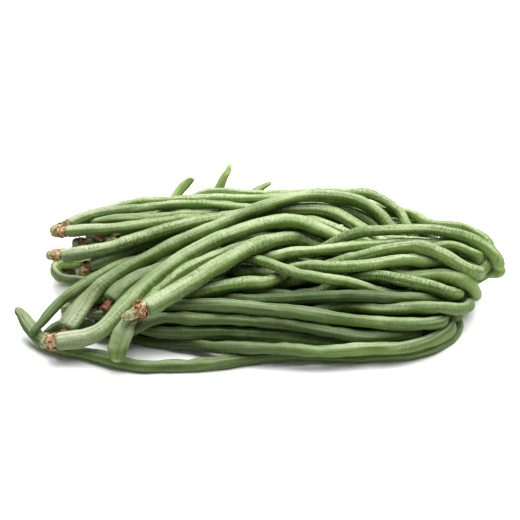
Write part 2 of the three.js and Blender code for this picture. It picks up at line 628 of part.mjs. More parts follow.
function beanMeshes(rope, number) {
  const curve = new THREE.CatmullRomCurve3(rope.place, false, "centripetal");
  curve.arcLengthDivisions = ARC_STEPS;
  const length = curve.getLength();
  const name = "bean_" + String(number).padStart(2, "0");
  const pod = new THREE.Mesh(
    podGeometry(rope.bean, curve, length),
    new THREE.MeshStandardMaterial(GREEN),
  );
  pod.name = name + "_pod";
  const stemEnd = new THREE.Mesh(
    stemEndGeometry(rope.bean, curve, length),
    new THREE.MeshStandardMaterial(BROWN),
  );
  stemEnd.name = name + "_stem_end";
  return [pod, stemEnd];
}

function makeBunch() {
  const ropes = BEANS.map(layRope);
  settle(ropes);
  const bunch = new THREE.Group();
  ropes.forEach((rope, i) => bunch.add(...beanMeshes(rope, i + 1)));
  const box = new THREE.Box3().setFromObject(bunch);
  const middle = box.getCenter(new THREE.Vector3());
  bunch.position.set(-middle.x, -middle.y, 0);
  return bunch;
}

export default makeBunch();
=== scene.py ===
"""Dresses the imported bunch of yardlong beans, and sets up its floor, light and camera.

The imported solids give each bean's centreline and thickness. A straight pod is modelled to that length, given
its seams, seed swellings and puckers, and bent along the centreline, so it lies where its solid lies. The dry
stem ends are modelled once for each kind and copied to the beans.
"""

import logging
import math
from dataclasses import dataclass, field
from enum import Enum

import bmesh
import bpy
import numpy as np
from mathutils import Matrix, Vector


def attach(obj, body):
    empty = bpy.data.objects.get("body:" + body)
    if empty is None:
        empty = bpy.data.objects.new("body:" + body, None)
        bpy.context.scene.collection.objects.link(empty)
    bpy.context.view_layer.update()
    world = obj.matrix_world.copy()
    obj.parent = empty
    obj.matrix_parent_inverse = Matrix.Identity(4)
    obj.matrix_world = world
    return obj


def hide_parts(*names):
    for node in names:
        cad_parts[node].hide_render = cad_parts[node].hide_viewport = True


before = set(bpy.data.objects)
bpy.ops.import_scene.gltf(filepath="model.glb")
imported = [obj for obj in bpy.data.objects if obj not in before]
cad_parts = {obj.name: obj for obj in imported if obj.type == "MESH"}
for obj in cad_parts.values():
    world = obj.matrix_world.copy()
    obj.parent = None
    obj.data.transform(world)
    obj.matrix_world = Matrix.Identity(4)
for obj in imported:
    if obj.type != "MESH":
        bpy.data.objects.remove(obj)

log = logging.getLogger("beans")

MM = 0.001
TURN = 2.0 * math.pi
TINY = 1e-4
BEANS = 27
BODY = "root"
SOLID_SIDES = 8
SAME_POINT = 5e-6
Colour = tuple[float, float, float, float]
Triple = tuple[float, float, float]
Span = tuple[float, float]
Patch = tuple[float, int]


# ---- helpers -----------------------------------------------------------------------------------------


def deselect_all() -> None:
    """Leaves nothing selected, so that the next operator acts on the new piece only."""
    bpy.ops.object.select_all(action="DESELECT")


def take(obj: bpy.types.Object) -> None:
    """Makes one object the only selected one and the active one.

    Args:
        obj: The object that the next operators act on.
    """
    deselect_all()
    obj.select_set(True)
    bpy.context.view_layer.objects.active = obj


def apply_all(obj: bpy.types.Object) -> None:
    """Applies every modifier of an object, first to last.

    Args:
        obj: The object, which stays selected and active.
    """
    take(obj)
    for modifier in list(obj.modifiers):
        bpy.ops.object.modifier_apply(modifier=modifier.name)


def vertex_places(mesh: bpy.types.Mesh) -> np.ndarray:
    """Reads where a mesh's vertices are.

    Args:
        mesh: The mesh.

    Returns:
        Their places, one row each.
    """
    places = np.empty(len(mesh.vertices) * 3, np.float64)
    mesh.vertices.foreach_get("co", places)
    return places.reshape(-1, 3)


def set_vertex_places(mesh: bpy.types.Mesh, places: np.ndarray) -> None:
    """Moves a mesh's vertices to the rows of an array."""
    mesh.vertices.foreach_set("co", places.ravel())
    mesh.update()


def write_attribute(mesh: bpy.types.Mesh, name: str, values: np.ndarray) -> None:
    """Stores one number or one vector for each vertex, for a material to read.

    Args:
        mesh: The mesh that holds it.
        name: The attribute's name.
        values: One number or one row of three for each vertex.
    """
    kind, key = ("FLOAT_VECTOR", "vector") if values.ndim == 2 else ("FLOAT", "value")
    attribute = mesh.attributes.new(name, kind, "POINT")
    attribute.data.foreach_set(key, values.astype(np.float32).ravel())


def ease(value: np.ndarray, low: float, high: float) -> np.ndarray:
    """Returns 0 below low, 1 above high and a smooth step between them.

    Args:
        value: The values to read.
        low: Where the step starts.
        high: Where the step ends.

    Returns:
        An array of shares from 0 to 1.
    """
    share = np.clip((value - low) / (high - low), 0.0, 1.0)
    return share * share * (3.0 - 2.0 * share)


def hump(value: np.ndarray, middle: float | np.ndarray, reach: float) -> np.ndarray:
    """Returns 1 at the middle and a smooth fall to 0 about two reaches away."""
    return np.exp(-(((value - middle) / reach) ** 2))


def axes_along(along: Vector) -> tuple[Vector, Vector, Vector]:
    """Returns a direction, the level one square to it, and the one that points up from both."""
    side = Vector((-along.y, along.x, 0.0)).normalized()
    return along, side, along.cross(side)


class Unevenness:
    """Smooth seeded noise over a piece's skin, closed round its girth."""

    def __init__(self, seed: int) -> None:
        """Starts the draw.

        Args:
            seed: A number of the piece's own.
        """
        self.draw = np.random.default_rng(seed)

    def over(self, along: np.ndarray, angle: np.ndarray, patch: float, patches_round: int) -> np.ndarray:
        """Draws a new field of noise.

        Args:
            along: Distances along the piece, in millimetres.
            angle: Angles round it, in radians.
            patch: The length of a patch of noise, in millimetres.
            patches_round: How many patches go round the girth.

        Returns:
            Values from -1 to 1, one for each place.
        """
        row = along / patch
        column = (angle / TURN % 1.0) * patches_round
        grid = self.draw.uniform(-1.0, 1.0, (int(row.max()) + 3, patches_round))
        row_0, column_0 = row.astype(int), column.astype(int)
        down, across = ease(row - row_0, 0.0, 1.0), ease(column - column_0, 0.0, 1.0)
        column_0 %= patches_round
        column_1 = (column_0 + 1) % patches_round
        near = grid[row_0, column_0] * (1 - across) + grid[row_0, column_1] * across
        far = grid[row_0 + 1, column_0] * (1 - across) + grid[row_0 + 1, column_1] * across
        return near * (1 - down) + far * down

    def lengthwise(self, along: np.ndarray, patch: float) -> np.ndarray:
        """Draws a new field of noise that is the same all round the girth."""
        return self.over(along, along * 0, patch, 3)


# ---- the centreline of a bean ------------------------------------------------------------------------


class Solid:
    """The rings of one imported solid, from its end nearest to a given place."""

    def __init__(self, node: str, near: Vector) -> None:
        """Reads the solid's mesh.

        Args:
            node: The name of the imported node.
            near: A place next to the end that comes first.
        """
        work = bmesh.new()
        work.from_mesh(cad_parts[node].data)
        bmesh.ops.remove_doubles(work, verts=work.verts, dist=SAME_POINT)
        ends = [v for v in work.verts if len(v.link_edges) == SOLID_SIDES and self._is_pole(v)]
        first = min(ends, key=lambda v: (v.co - near).length)
        self.rings: list[np.ndarray] = []
        seen = {first}
        layer = [first]
        while layer:
            self.rings.append(np.array([v.co for v in layer]))
            layer = list({e.other_vert(v) for v in layer for e in v.link_edges} - seen)
            seen.update(layer)
        work.free()

    @staticmethod
    def _is_pole(vertex: bmesh.types.BMVert) -> bool:
        """Tells whether all the faces round a vertex are triangles of one fan."""
        ring = {e.other_vert(vertex) for e in vertex.link_edges}
        return all(sum(e.other_vert(v) in ring for e in v.link_edges) == 2 for v in ring)

    def centres(self) -> np.ndarray:
        """Returns the middle of each ring, with the two end points."""
        return np.array([ring.mean(axis=0) for ring in self.rings])


def travelled(points: np.ndarray, power: float = 1.0) -> np.ndarray:
    """Adds up the steps between points, each raised to a power, from 0 at the first point."""
    steps = np.linalg.norm(np.diff(points, axis=0), axis=1) ** power
    return np.concatenate([[0.0], np.cumsum(steps)])


def smooth_line(points: np.ndarray, step: float, finer: int = 4) -> np.ndarray:
    """Draws a centripetal Catmull-Rom curve through points.

    Args:
        points: The points it passes, in order.
        step: The distance between the places returned.
        finer: How many times finer than that the curve is worked out.

    Returns:
        Places at even steps along the curve, its two ends included.
    """
    padded = np.vstack([2 * points[0] - points[1], points, 2 * points[-1] - points[-2]])
    knots = travelled(padded, 0.5)
    pieces = []
    for i in range(1, len(padded) - 2):
        p, k = padded[i - 1 : i + 3], knots[i - 1 : i + 3]
        count = max(int(np.linalg.norm(p[2] - p[1]) / step * finer), finer)
        t = np.linspace(k[1], k[2], count, endpoint=False)[:, None]
        a = [((k[j + 1] - t) * p[j] + (t - k[j]) * p[j + 1]) / (k[j + 1] - k[j]) for j in range(3)]
        b = [((k[j + 2] - t) * a[j] + (t - k[j]) * a[j + 1]) / (k[j + 2] - k[j]) for j in range(2)]
        pieces.append(((k[2] - t) * b[0] + (t - k[1]) * b[1]) / (k[2] - k[1]))
    line = np.vstack([*pieces, points[-1:]])
    distances = travelled(line)
    even = np.linspace(0.0, distances[-1], max(int(distances[-1] / step), 2) + 1)
    return np.stack([np.interp(even, distances, line[:, axis]) for axis in range(3)], axis=1)


@dataclass
class Spine:
    """A bean's centreline and its thickness along it, read from its two solids. Metres.

    Attributes:
        number: The bean's number.
        step: How far apart the places of its line are.
        end_rings: How many rings at each end belong to the pod's rounding.
        nearby: How many places before and after a ring give the line's direction there.
        line: Places along the pod's centreline, from its stem end.
        length: The length of that line.
        stalk: The middles of the stem end's rings, from its cut end to the pod.
        at: The distance along the line of each of the pod's rings.
        wide: Half the pod's width at each of them.
        thick: Half its thickness at each of them.
    """

    number: int
    step: float = 1.0 * MM
    end_rings: int = 2
    nearby: int = 2
    line: np.ndarray = field(init=False)
    length: float = field(init=False)
    stalk: np.ndarray = field(init=False)
    at: np.ndarray = field(init=False)
    wide: np.ndarray = field(init=False)
    thick: np.ndarray = field(init=False)

    def __post_init__(self) -> None:
        """Reads the solids and measures the rings."""
        stem_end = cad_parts[self.stem_node]
        middle = Vector(np.mean([v.co for v in stem_end.data.vertices], axis=0))
        pod = Solid(self.pod_node, near=middle)
        centres = pod.centres()
        body = centres[self.end_rings : -self.end_rings]
        self.line = smooth_line(np.vstack([centres[:1], body, centres[-1:]]), self.step)
        self.length = float(np.linalg.norm(np.diff(self.line, axis=0), axis=1).sum())
        self.stalk = Solid(self.stem_node, near=Vector(centres[0])).centres()[::-1]
        rings = pod.rings[self.end_rings : -self.end_rings]
        places = [int(np.linalg.norm(self.line - ring.mean(axis=0), axis=1).argmin()) for ring in rings]
        self.at = np.array(places) * self.length / (len(self.line) - 1)
        spans = [self._spans(ring, place) for ring, place in zip(rings, places)]
        self.wide, self.thick = np.array(spans).T

    @property
    def name(self) -> str:
        """The bean's own name."""
        return f"bean_{self.number:02d}"

    @property
    def pod_node(self) -> str:
        """The name of its pod's solid."""
        return self.name + "_pod"

    @property
    def stem_node(self) -> str:
        """The name of its stem end's solid."""
        return self.name + "_stem_end"

    def _spans(self, ring: np.ndarray, place: int) -> Span:
        """Measures a ring across and up.

        Args:
            ring: The ring's corners.
            place: The index of the line's place in the ring's middle.

        Returns:
            Half the width and half the thickness of the round section that the corners lie on.
        """
        before, after = max(place - self.nearby, 0), min(place + self.nearby, len(self.line) - 1)
        along = Vector(self.line[after] - self.line[before]).normalized()
        offsets = ring - ring.mean(axis=0)
        corner = math.cos(math.pi / SOLID_SIDES)
        axes = axes_along(along)[1:]
        return tuple(float(np.abs(offsets @ np.array(axis)).max()) / corner for axis in axes)


# ---- finishes ----------------------------------------------------------------------------------------


class Value:
    """A node's output, on which sums are written as Python expressions."""

    def __init__(self, tree: "NodeTree", socket: bpy.types.NodeSocket) -> None:
        """Wraps a socket.

        Args:
            tree: The tree that holds it.
            socket: The output.
        """
        self.tree = tree
        self.socket = socket

    def _sum(self, operation: str, first: "Value | float", second: "Value | float") -> "Value":
        """Adds a Math node for one step of a sum."""
        return self.tree.add("ShaderNodeMath", {"operation": operation}, {0: first, 1: second})

    def __add__(self, other: "Value | float") -> "Value":
        """Adds."""
        return self._sum("ADD", self, other)

    def __sub__(self, other: "Value | float") -> "Value":
        """Takes another away."""
        return self._sum("SUBTRACT", self, other)

    def __rsub__(self, other: float) -> "Value":
        """Is taken away from a number."""
        return self._sum("SUBTRACT", other, self)

    def __mul__(self, other: "Value | float") -> "Value":
        """Multiplies."""
        return self._sum("MULTIPLY", self, other)

    __radd__ = __add__
    __rmul__ = __mul__


@dataclass(frozen=True)
class Pattern:
    """Patches of noise with soft edges.

    Attributes:
        scale: Its patches in a unit of length, along each axis of the place that it reads.
        low: The noise up to which nothing shows.
        high: The noise from which it shows in full.
        detail: How many finer layers it has.
    """

    scale: Triple
    low: float
    high: float
    detail: float = 2.0


class NodeTree:
    """A material being made: its nodes come from one method."""

    def __init__(self, name: str) -> None:
        """Makes an empty material.

        Args:
            name: Its name.
        """
        self.material = bpy.data.materials.new(name)
        self.material.use_nodes = True
        self.nodes = self.material.node_tree.nodes
        self.links = self.material.node_tree.links
        self.nodes.clear()

    def add(self, kind: str, settings: dict, inputs: dict, output: int | str = 0) -> Value:
        """Adds a node.

        Args:
            kind: The node's type.
            settings: Its properties, set first; "stops" lists a ramp's (place, colour) pairs.
            inputs: A value or a link for each of its sockets, by name or number.
            output: The output returned.

        Returns:
            The node's output.
        """
        node = self.nodes.new(kind)
        for key, setting in settings.items():
            if key == "stops":
                ramp = node.color_ramp
                while len(ramp.elements) < len(setting):
                    ramp.elements.new(1.0)
                for stop, (place, colour) in zip(ramp.elements, setting):
                    stop.position, stop.color = place, colour
            else:
                setattr(node, key, setting)
        for key, given in inputs.items():
            if isinstance(given, Value):
                self.links.new(given.socket, node.inputs[key])
            else:
                node.inputs[key].default_value = given
        return Value(self, node.outputs[output])

    def attribute(self, name: str, output: str = "Fac") -> Value:
        """Reads an attribute of the piece."""
        return self.add("ShaderNodeAttribute", {"attribute_name": name}, {}, output)

    def object_place(self) -> Value:
        """Reads the place on the piece, in metres."""
        return self.add("ShaderNodeTexCoord", {}, {}, "Object")

    def noise(self, place: Value, scale: Triple, detail: float = 2.0) -> Value:
        """Draws noise over a place.

        Args:
            place: The vector it reads.
            scale: Patches in a unit of length along each axis of that vector.
            detail: How many finer layers it has.

        Returns:
            Values about 0.5.
        """
        scaled = self.add("ShaderNodeMapping", {}, {"Vector": place, "Scale": scale})
        return self.add("ShaderNodeTexNoise", {}, {"Vector": scaled, "Scale": 1.0, "Detail": detail})

    def pattern(self, place: Value, pattern: Pattern) -> Value:
        """Draws a pattern over a place.

        Args:
            place: The vector it reads.
            pattern: Its patches.

        Returns:
            A share that goes smoothly from 0 to 1.
        """
        noise = self.noise(place, pattern.scale, pattern.detail)
        inputs = {"Value": noise, "From Min": pattern.low, "From Max": pattern.high}
        return self.add("ShaderNodeMapRange", {"interpolation_type": "SMOOTHSTEP"}, inputs)

    def mix(self, share: Value | float, first: Value | Colour, second: Value | Colour) -> Value:
        """Mixes two colours by a share."""
        inputs = {"Factor": share, 6: first, 7: second}
        return self.add("ShaderNodeMix", {"data_type": "RGBA"}, inputs, 2)

    def bump(self, height: Value, strength: float, distance: float) -> Value:
        """Turns a height into a normal.

        Args:
            height: The height, of which 1 stands for the distance.
            strength: How strongly it shows.
            distance: The depth of the relief, in metres.

        Returns:
            The normal.
        """
        inputs = {"Height": height, "Strength": strength, "Distance": distance}
        return self.add("ShaderNodeBump", {}, inputs, "Normal")

    def finish(self, inputs: dict) -> bpy.types.Material:
        """Adds the surface shader and the output.

        Args:
            inputs: Values and links for the shader's sockets.

        Returns:
            The material.
        """
        shader = self.add("ShaderNodeBsdfPrincipled", {}, inputs)
        output = self.nodes.new("ShaderNodeOutputMaterial")
        self.links.new(shader.socket, output.inputs["Surface"])
        return self.material


@dataclass(frozen=True)
class PodSkin:
    """The green skin of a pod: mottled, streaked, finely wrinkled across and waxy, with painted highlight,
    painted light and painted shade laid into its colour.

    Its patterns lie on the pod's grain, in millimetres along it and then across it. Of a pair of shares, the
    first holds everywhere and the second is added where the skin is patchy.
    """

    # deep: the veins' dark green, and painted shade in the seam and groove creases
    deep: Colour = (0.012, 0.026, 0.005, 1.0)
    green: Colour = (0.060, 0.112, 0.012, 1.0)
    sage: Colour = (0.114, 0.190, 0.031, 1.0)
    # pale: painted highlight where the skin faces up, and the neck's own paleness
    pale: Colour = (0.350, 0.380, 0.262, 1.0)
    tick: Colour = (0.024, 0.058, 0.005, 1.0)
    # shady: painted shade
    shady: Colour = (0.021, 0.041, 0.005, 1.0)
    # light: painted light where the light attribute is set, and the colour of the fold bands
    light: Colour = (0.185, 0.275, 0.072, 1.0)
    fresh: Colour = (0.044, 0.080, 0.013, 1.0)
    # painted light for upright tips that face away from the lamp
    young: Colour = (0.300, 0.400, 0.130, 1.0)
    speck: Colour = (0.060, 0.036, 0.014, 1.0)
    mottle: Pattern = Pattern((0.035, 0.12, 0.12), 0.32, 0.66)
    streaks: Pattern = Pattern((0.020, 0.80, 0.80), 0.45, 0.70)
    veins: Pattern = Pattern((0.014, 1.10, 1.10), 0.56, 0.66, 1.0)
    patches: Pattern = Pattern((0.045, 0.20, 0.20), 0.42, 0.64, 1.0)
    folds: Pattern = Pattern((0.95, 0.24, 0.24), 0.42, 0.66)
    hatch: Pattern = Pattern((1.9, 0.40, 0.40), 0.45, 0.65, 1.0)
    specks: Pattern = Pattern((0.9, 0.9, 0.9), 0.76, 0.80, 0.0)
    shade_dims: float = 0.75
    streak_share: float = 0.30
    painted_highlight_share: Span = (0.30, 0.30)
    neck_share: Span = (0.15, 0.40)
    neck_painted_highlight: float = 0.45
    fold_share: Span = (0.24, 0.34)
    tick_share: Span = (0.28, 0.36)
    vein_share: float = 0.35
    speck_share: float = 0.45
    fold_height: Span = (0.3, 0.8)
    hatch_height: float = 0.35
    vein_height: float = 0.4
    relief: float = 0.34 * MM
    relief_strength: float = 0.80
    roughness: float = 0.50
    fold_roughness: float = 0.08
    mottle_roughness: float = 0.06
    gloss: float = 0.30

    def make(self) -> bpy.types.Material:
        """Mixes the skin's colours, its sheen and its fine relief.

        Returns:
            The finished material.
        """
        tree = NodeTree("pod_skin")
        grain = tree.attribute("grain", "Vector")
        mottle = tree.pattern(grain, self.mottle)
        patches = tree.pattern(grain, self.patches)
        folds = tree.pattern(grain, self.folds)
        hatch = tree.pattern(grain, self.hatch)
        veins = tree.pattern(grain, self.veins)
        # lit: one less a share of the painted shade; it dims the streaks and fold bands in the painted shade
        lit = 1.0 - tree.attribute("shade") * self.shade_dims
        colour = self._body(tree, mottle, tree.pattern(grain, self.streaks) * lit)
        colour = self._painted_highlight_and_neck(tree, colour, mottle, patches)
        wrinkles = tree.attribute("wrinkle")
        fold_share = self._patchy(patches, self.fold_share) * wrinkles * lit
        colour = tree.mix(folds * fold_share, colour, self.light)
        colour = tree.mix(hatch * self._patchy(patches, self.tick_share) * wrinkles, colour, self.tick)
        colour = tree.mix(veins * self.vein_share, colour, self.deep)
        colour = tree.mix(tree.attribute("tip"), colour, self.fresh)
        # painted light on upright tips
        colour = tree.mix(tree.attribute("young"), colour, self.young)
        # painted shade in the seam and groove creases
        colour = tree.mix(tree.attribute("seam"), colour, self.deep)
        colour = tree.mix(tree.pattern(grain, self.specks) * self.speck_share, colour, self.speck)
        height = folds * self._patchy(patches, self.fold_height) + hatch * self.hatch_height
        height = height * wrinkles - veins * self.vein_height
        return tree.finish(
            {
                "Base Color": colour,
                "Roughness": self.roughness + folds * self.fold_roughness + mottle * self.mottle_roughness,
                "Normal": tree.bump(height, self.relief_strength, self.relief),
                "Specular IOR Level": self.gloss,
            }
        )

    @staticmethod
    def _patchy(where: Value, share: Span) -> Value:
        """Returns a share that is larger where a pattern shows."""
        return where * share[1] + share[0]

    def _body(self, tree: NodeTree, mottle: Value, streaks: Value) -> Value:
        """Mixes the mottled green with stretches of painted shade and painted light, and its streaks.

        Args:
            tree: The material being made.
            mottle: Where the skin is sage.
            streaks: Where streaks of sage run along it and show, less so in the painted shade.

        Returns:
            The colour.
        """
        colour = tree.mix(mottle, self.green, self.sage)
        # painted shade and painted light, set for each pod by where it lies in the heap
        colour = tree.mix(tree.attribute("shade"), colour, self.shady)
        colour = tree.mix(tree.attribute("light"), colour, self.light)
        return tree.mix(streaks * self.streak_share, colour, self.sage)

    def _painted_highlight_and_neck(self, tree: NodeTree, colour: Value, mottle: Value, patches: Value) -> Value:
        """Lays a painted highlight, a pale colour where the skin faces up, and the pale neck, which takes more
        painted highlight where it faces up.

        Args:
            tree: The material being made.
            colour: The colour under it.
            mottle: Where more of the painted highlight shows.
            patches: Where the neck is paler.

        Returns:
            The colour.
        """
        facing_up = tree.attribute("bloom")
        # painted highlight: pale where the skin faces up, and none in the painted shade
        kept = facing_up * (1.0 - tree.attribute("shade")) * self._patchy(mottle, self.painted_highlight_share)
        colour = tree.mix(kept, colour, self.pale)
        # the neck's own paleness, plus painted highlight where it faces up
        neck = facing_up * self.neck_painted_highlight + self._patchy(patches, self.neck_share)
        return tree.mix(tree.attribute("pale") * neck, colour, self.pale)


@dataclass(frozen=True)
class DryStem:
    """The brown, crumpled tissue of a calyx, and the paler stalk under it.

    Its patterns lie on the piece itself, in patches to a metre.
    """

    name: str
    dark: Colour
    middle: Colour
    light: Colour
    spot: Colour
    roughness: float = 0.85
    lump_scale: Triple = (440.0, 440.0, 440.0)
    lump_detail: float = 3.0
    lump_stops: Triple = (0.36, 0.50, 0.64)
    flecks: Pattern = Pattern((1400.0, 1400.0, 1400.0), 0.50, 0.66)
    spots: Pattern = Pattern((330.0, 330.0, 330.0), 0.58, 0.68, 1.0)
    fleck_share: float = 0.32
    fleck_roughness: float = 0.1
    fleck_height: float = 0.3
    spot_share: float = 0.7
    relief: float = 0.6 * MM
    relief_strength: float = 0.8

    def make(self) -> bpy.types.Material:
        """Mixes the tissue's colours and its rough relief.

        Returns:
            The finished material.
        """
        tree = NodeTree(self.name)
        place = tree.object_place()
        lumps = tree.noise(place, self.lump_scale, self.lump_detail)
        flecks = tree.pattern(place, self.flecks)
        stops = list(zip(self.lump_stops, (self.dark, self.middle, self.light)))
        colour = tree.add("ShaderNodeValToRGB", {"stops": stops}, {"Fac": lumps})
        colour = tree.mix(tree.pattern(place, self.spots) * self.spot_share, colour, self.spot)
        colour = tree.mix(flecks * self.fleck_share, colour, self.dark)
        height = lumps + flecks * self.fleck_height
        return tree.finish(
            {
                "Base Color": colour,
                "Roughness": flecks * self.fleck_roughness + self.roughness,
                "Normal": tree.bump(height, self.relief_strength, self.relief),
            }
        )


CALYX = DryStem(
    name="dry_calyx",
    dark=(0.036, 0.017, 0.007, 1.0),
    middle=(0.260, 0.155, 0.062, 1.0),
    light=(0.455, 0.350, 0.190, 1.0),
    spot=(0.200, 0.075, 0.020, 1.0),
)

STALK = DryStem(
    name="cut_stalk",
    dark=(0.090, 0.095, 0.036, 1.0),
    middle=(0.175, 0.205, 0.085, 1.0),
    light=(0.270, 0.300, 0.155, 1.0),
    spot=(0.150, 0.135, 0.055, 1.0),
    roughness=0.65,
)

FIBRE = DryStem(
    name="dry_fibre",
    dark=(0.070, 0.016, 0.007, 1.0),
    middle=(0.240, 0.070, 0.032, 1.0),
    light=(0.400, 0.215, 0.125, 1.0),
    spot=(0.300, 0.180, 0.100, 1.0),
    roughness=0.70,
)

SHARD = DryStem(
    name="dry_shard",
    dark=(0.026, 0.009, 0.005, 1.0),
    middle=(0.125, 0.036, 0.015, 1.0),
    light=(0.240, 0.105, 0.050, 1.0),
    spot=(0.170, 0.065, 0.028, 1.0),
    roughness=0.75,
)


# ---- pods --------------------------------------------------------------------------------------------


@dataclass(frozen=True)
class PodLook:
    """What sets one pod apart from the others.

    Attributes:
        seams: Where its suture runs before the fold and after it, in degrees round from the side.
        wrinkled: How strongly it is puckered across.
        swollen: How strongly its seeds swell it.
        pale: How pale it is near its stem end.
        grooved: How deep its seams and the grooves beside them are, and how much painted shade lies in them.
        tone: Painted light and shade at its stem end, fold and tip, from -1, full painted light, to 1, full
            painted shade.
        tip_dark_or_painted_light: How dark its tip is, or, below 0, how much painted light makes it a light
            yellow-green.
        blade: How far its tip widens into a flat blade.
    """

    seams: Span = (150.0, 40.0)
    wrinkled: float = 0.6
    swollen: float = 0.6
    pale: float = 0.5
    grooved: float = 0.6
    tone: Triple = (0.3, 0.3, 0.3)
    tip_dark_or_painted_light: float = 0.25
    blade: float = 0.0


# The triple after grooved is painted shade above 0 and painted light below 0, set by where each pod lies in
# the heap; the number after it, below 0, paints light on the tip.
LOOKS: dict[int, PodLook] = {
    1: PodLook((172, 30), 1.00, 0.3, 0.55, 0.50, (0.45, -0.35, 0.20)),
    2: PodLook((170, 45), 0.60, 0.4, 1.00, 0.15, (0.35, -0.30, 0.20)),
    3: PodLook((168, 62), 1.00, 0.4, 0.95, 0.50, (0.15, -0.65, 0.00)),
    4: PodLook((118, 40), 0.60, 0.4, 0.60, 0.20, (0.50, -0.55, 0.00)),
    5: PodLook((160, 40), 0.80, 0.4, 0.80, 0.30, (-0.60, -0.55, 0.10)),
    6: PodLook((150, 35), 0.80, 0.5, 0.90, 0.30, (-0.45, -0.50, 0.00)),
    7: PodLook((155, 20), 0.80, 0.5, 0.60, 0.40, (-0.25, -0.25, 0.20)),
    8: PodLook((140, 60), 0.80, 0.4, 0.80, 0.30, (-0.75, -0.60, -0.50)),
    9: PodLook((150, 40), 0.80, 0.5, 0.30, 0.30, (0.60, 0.30, 0.40)),
    10: PodLook((165, 50), 0.75, 0.6, 0.25, 0.20, (0.65, 0.45, 0.45)),
    11: PodLook((120, 30), 0.90, 0.3, 0.40, 0.60, (0.00, -0.85, 0.20), 0.60, 0.3),
    12: PodLook((145, 55), 0.70, 0.5, 0.50, 0.30, (0.00, -0.75, 0.70), 0.80),
    13: PodLook((160, 25), 0.50, 0.8, 0.20, 1.00, (0.97, 0.40, 0.55), 0.10),
    14: PodLook((150, 40), 0.50, 1.0, 0.20, 0.80, (0.97, 0.50, 0.80), 0.20),
    15: PodLook((155, 35), 0.50, 0.9, 0.20, 0.90, (0.97, 0.80, 0.90)),
    16: PodLook((140, 50), 0.50, 0.9, 0.20, 1.00, (0.95, 0.65, 0.85)),
    17: PodLook((165, 25), 0.50, 0.9, 0.20, 0.90, (0.95, 0.70, 0.90)),
    18: PodLook((150, 45), 0.50, 1.0, 0.20, 0.80, (0.90, 0.60, 0.80)),
    19: PodLook((150, 40), 0.90, 0.5, 0.50, 0.50, (-0.30, -0.85, -0.80), -0.50),
    20: PodLook((140, 50), 0.90, 0.5, 0.50, 0.50, (-0.30, -0.85, -0.95), -0.95),
    21: PodLook((160, 35), 0.80, 0.5, 0.50, 0.50, (-0.30, -0.60, -0.30), -0.10),
    22: PodLook((150, 40), 0.50, 0.8, 0.40, 0.80, (0.70, 0.80, 0.80)),
    27: PodLook((150, 40), 0.80, 0.5, 0.50, 0.30, (-0.50, -0.50, -0.40)),
}


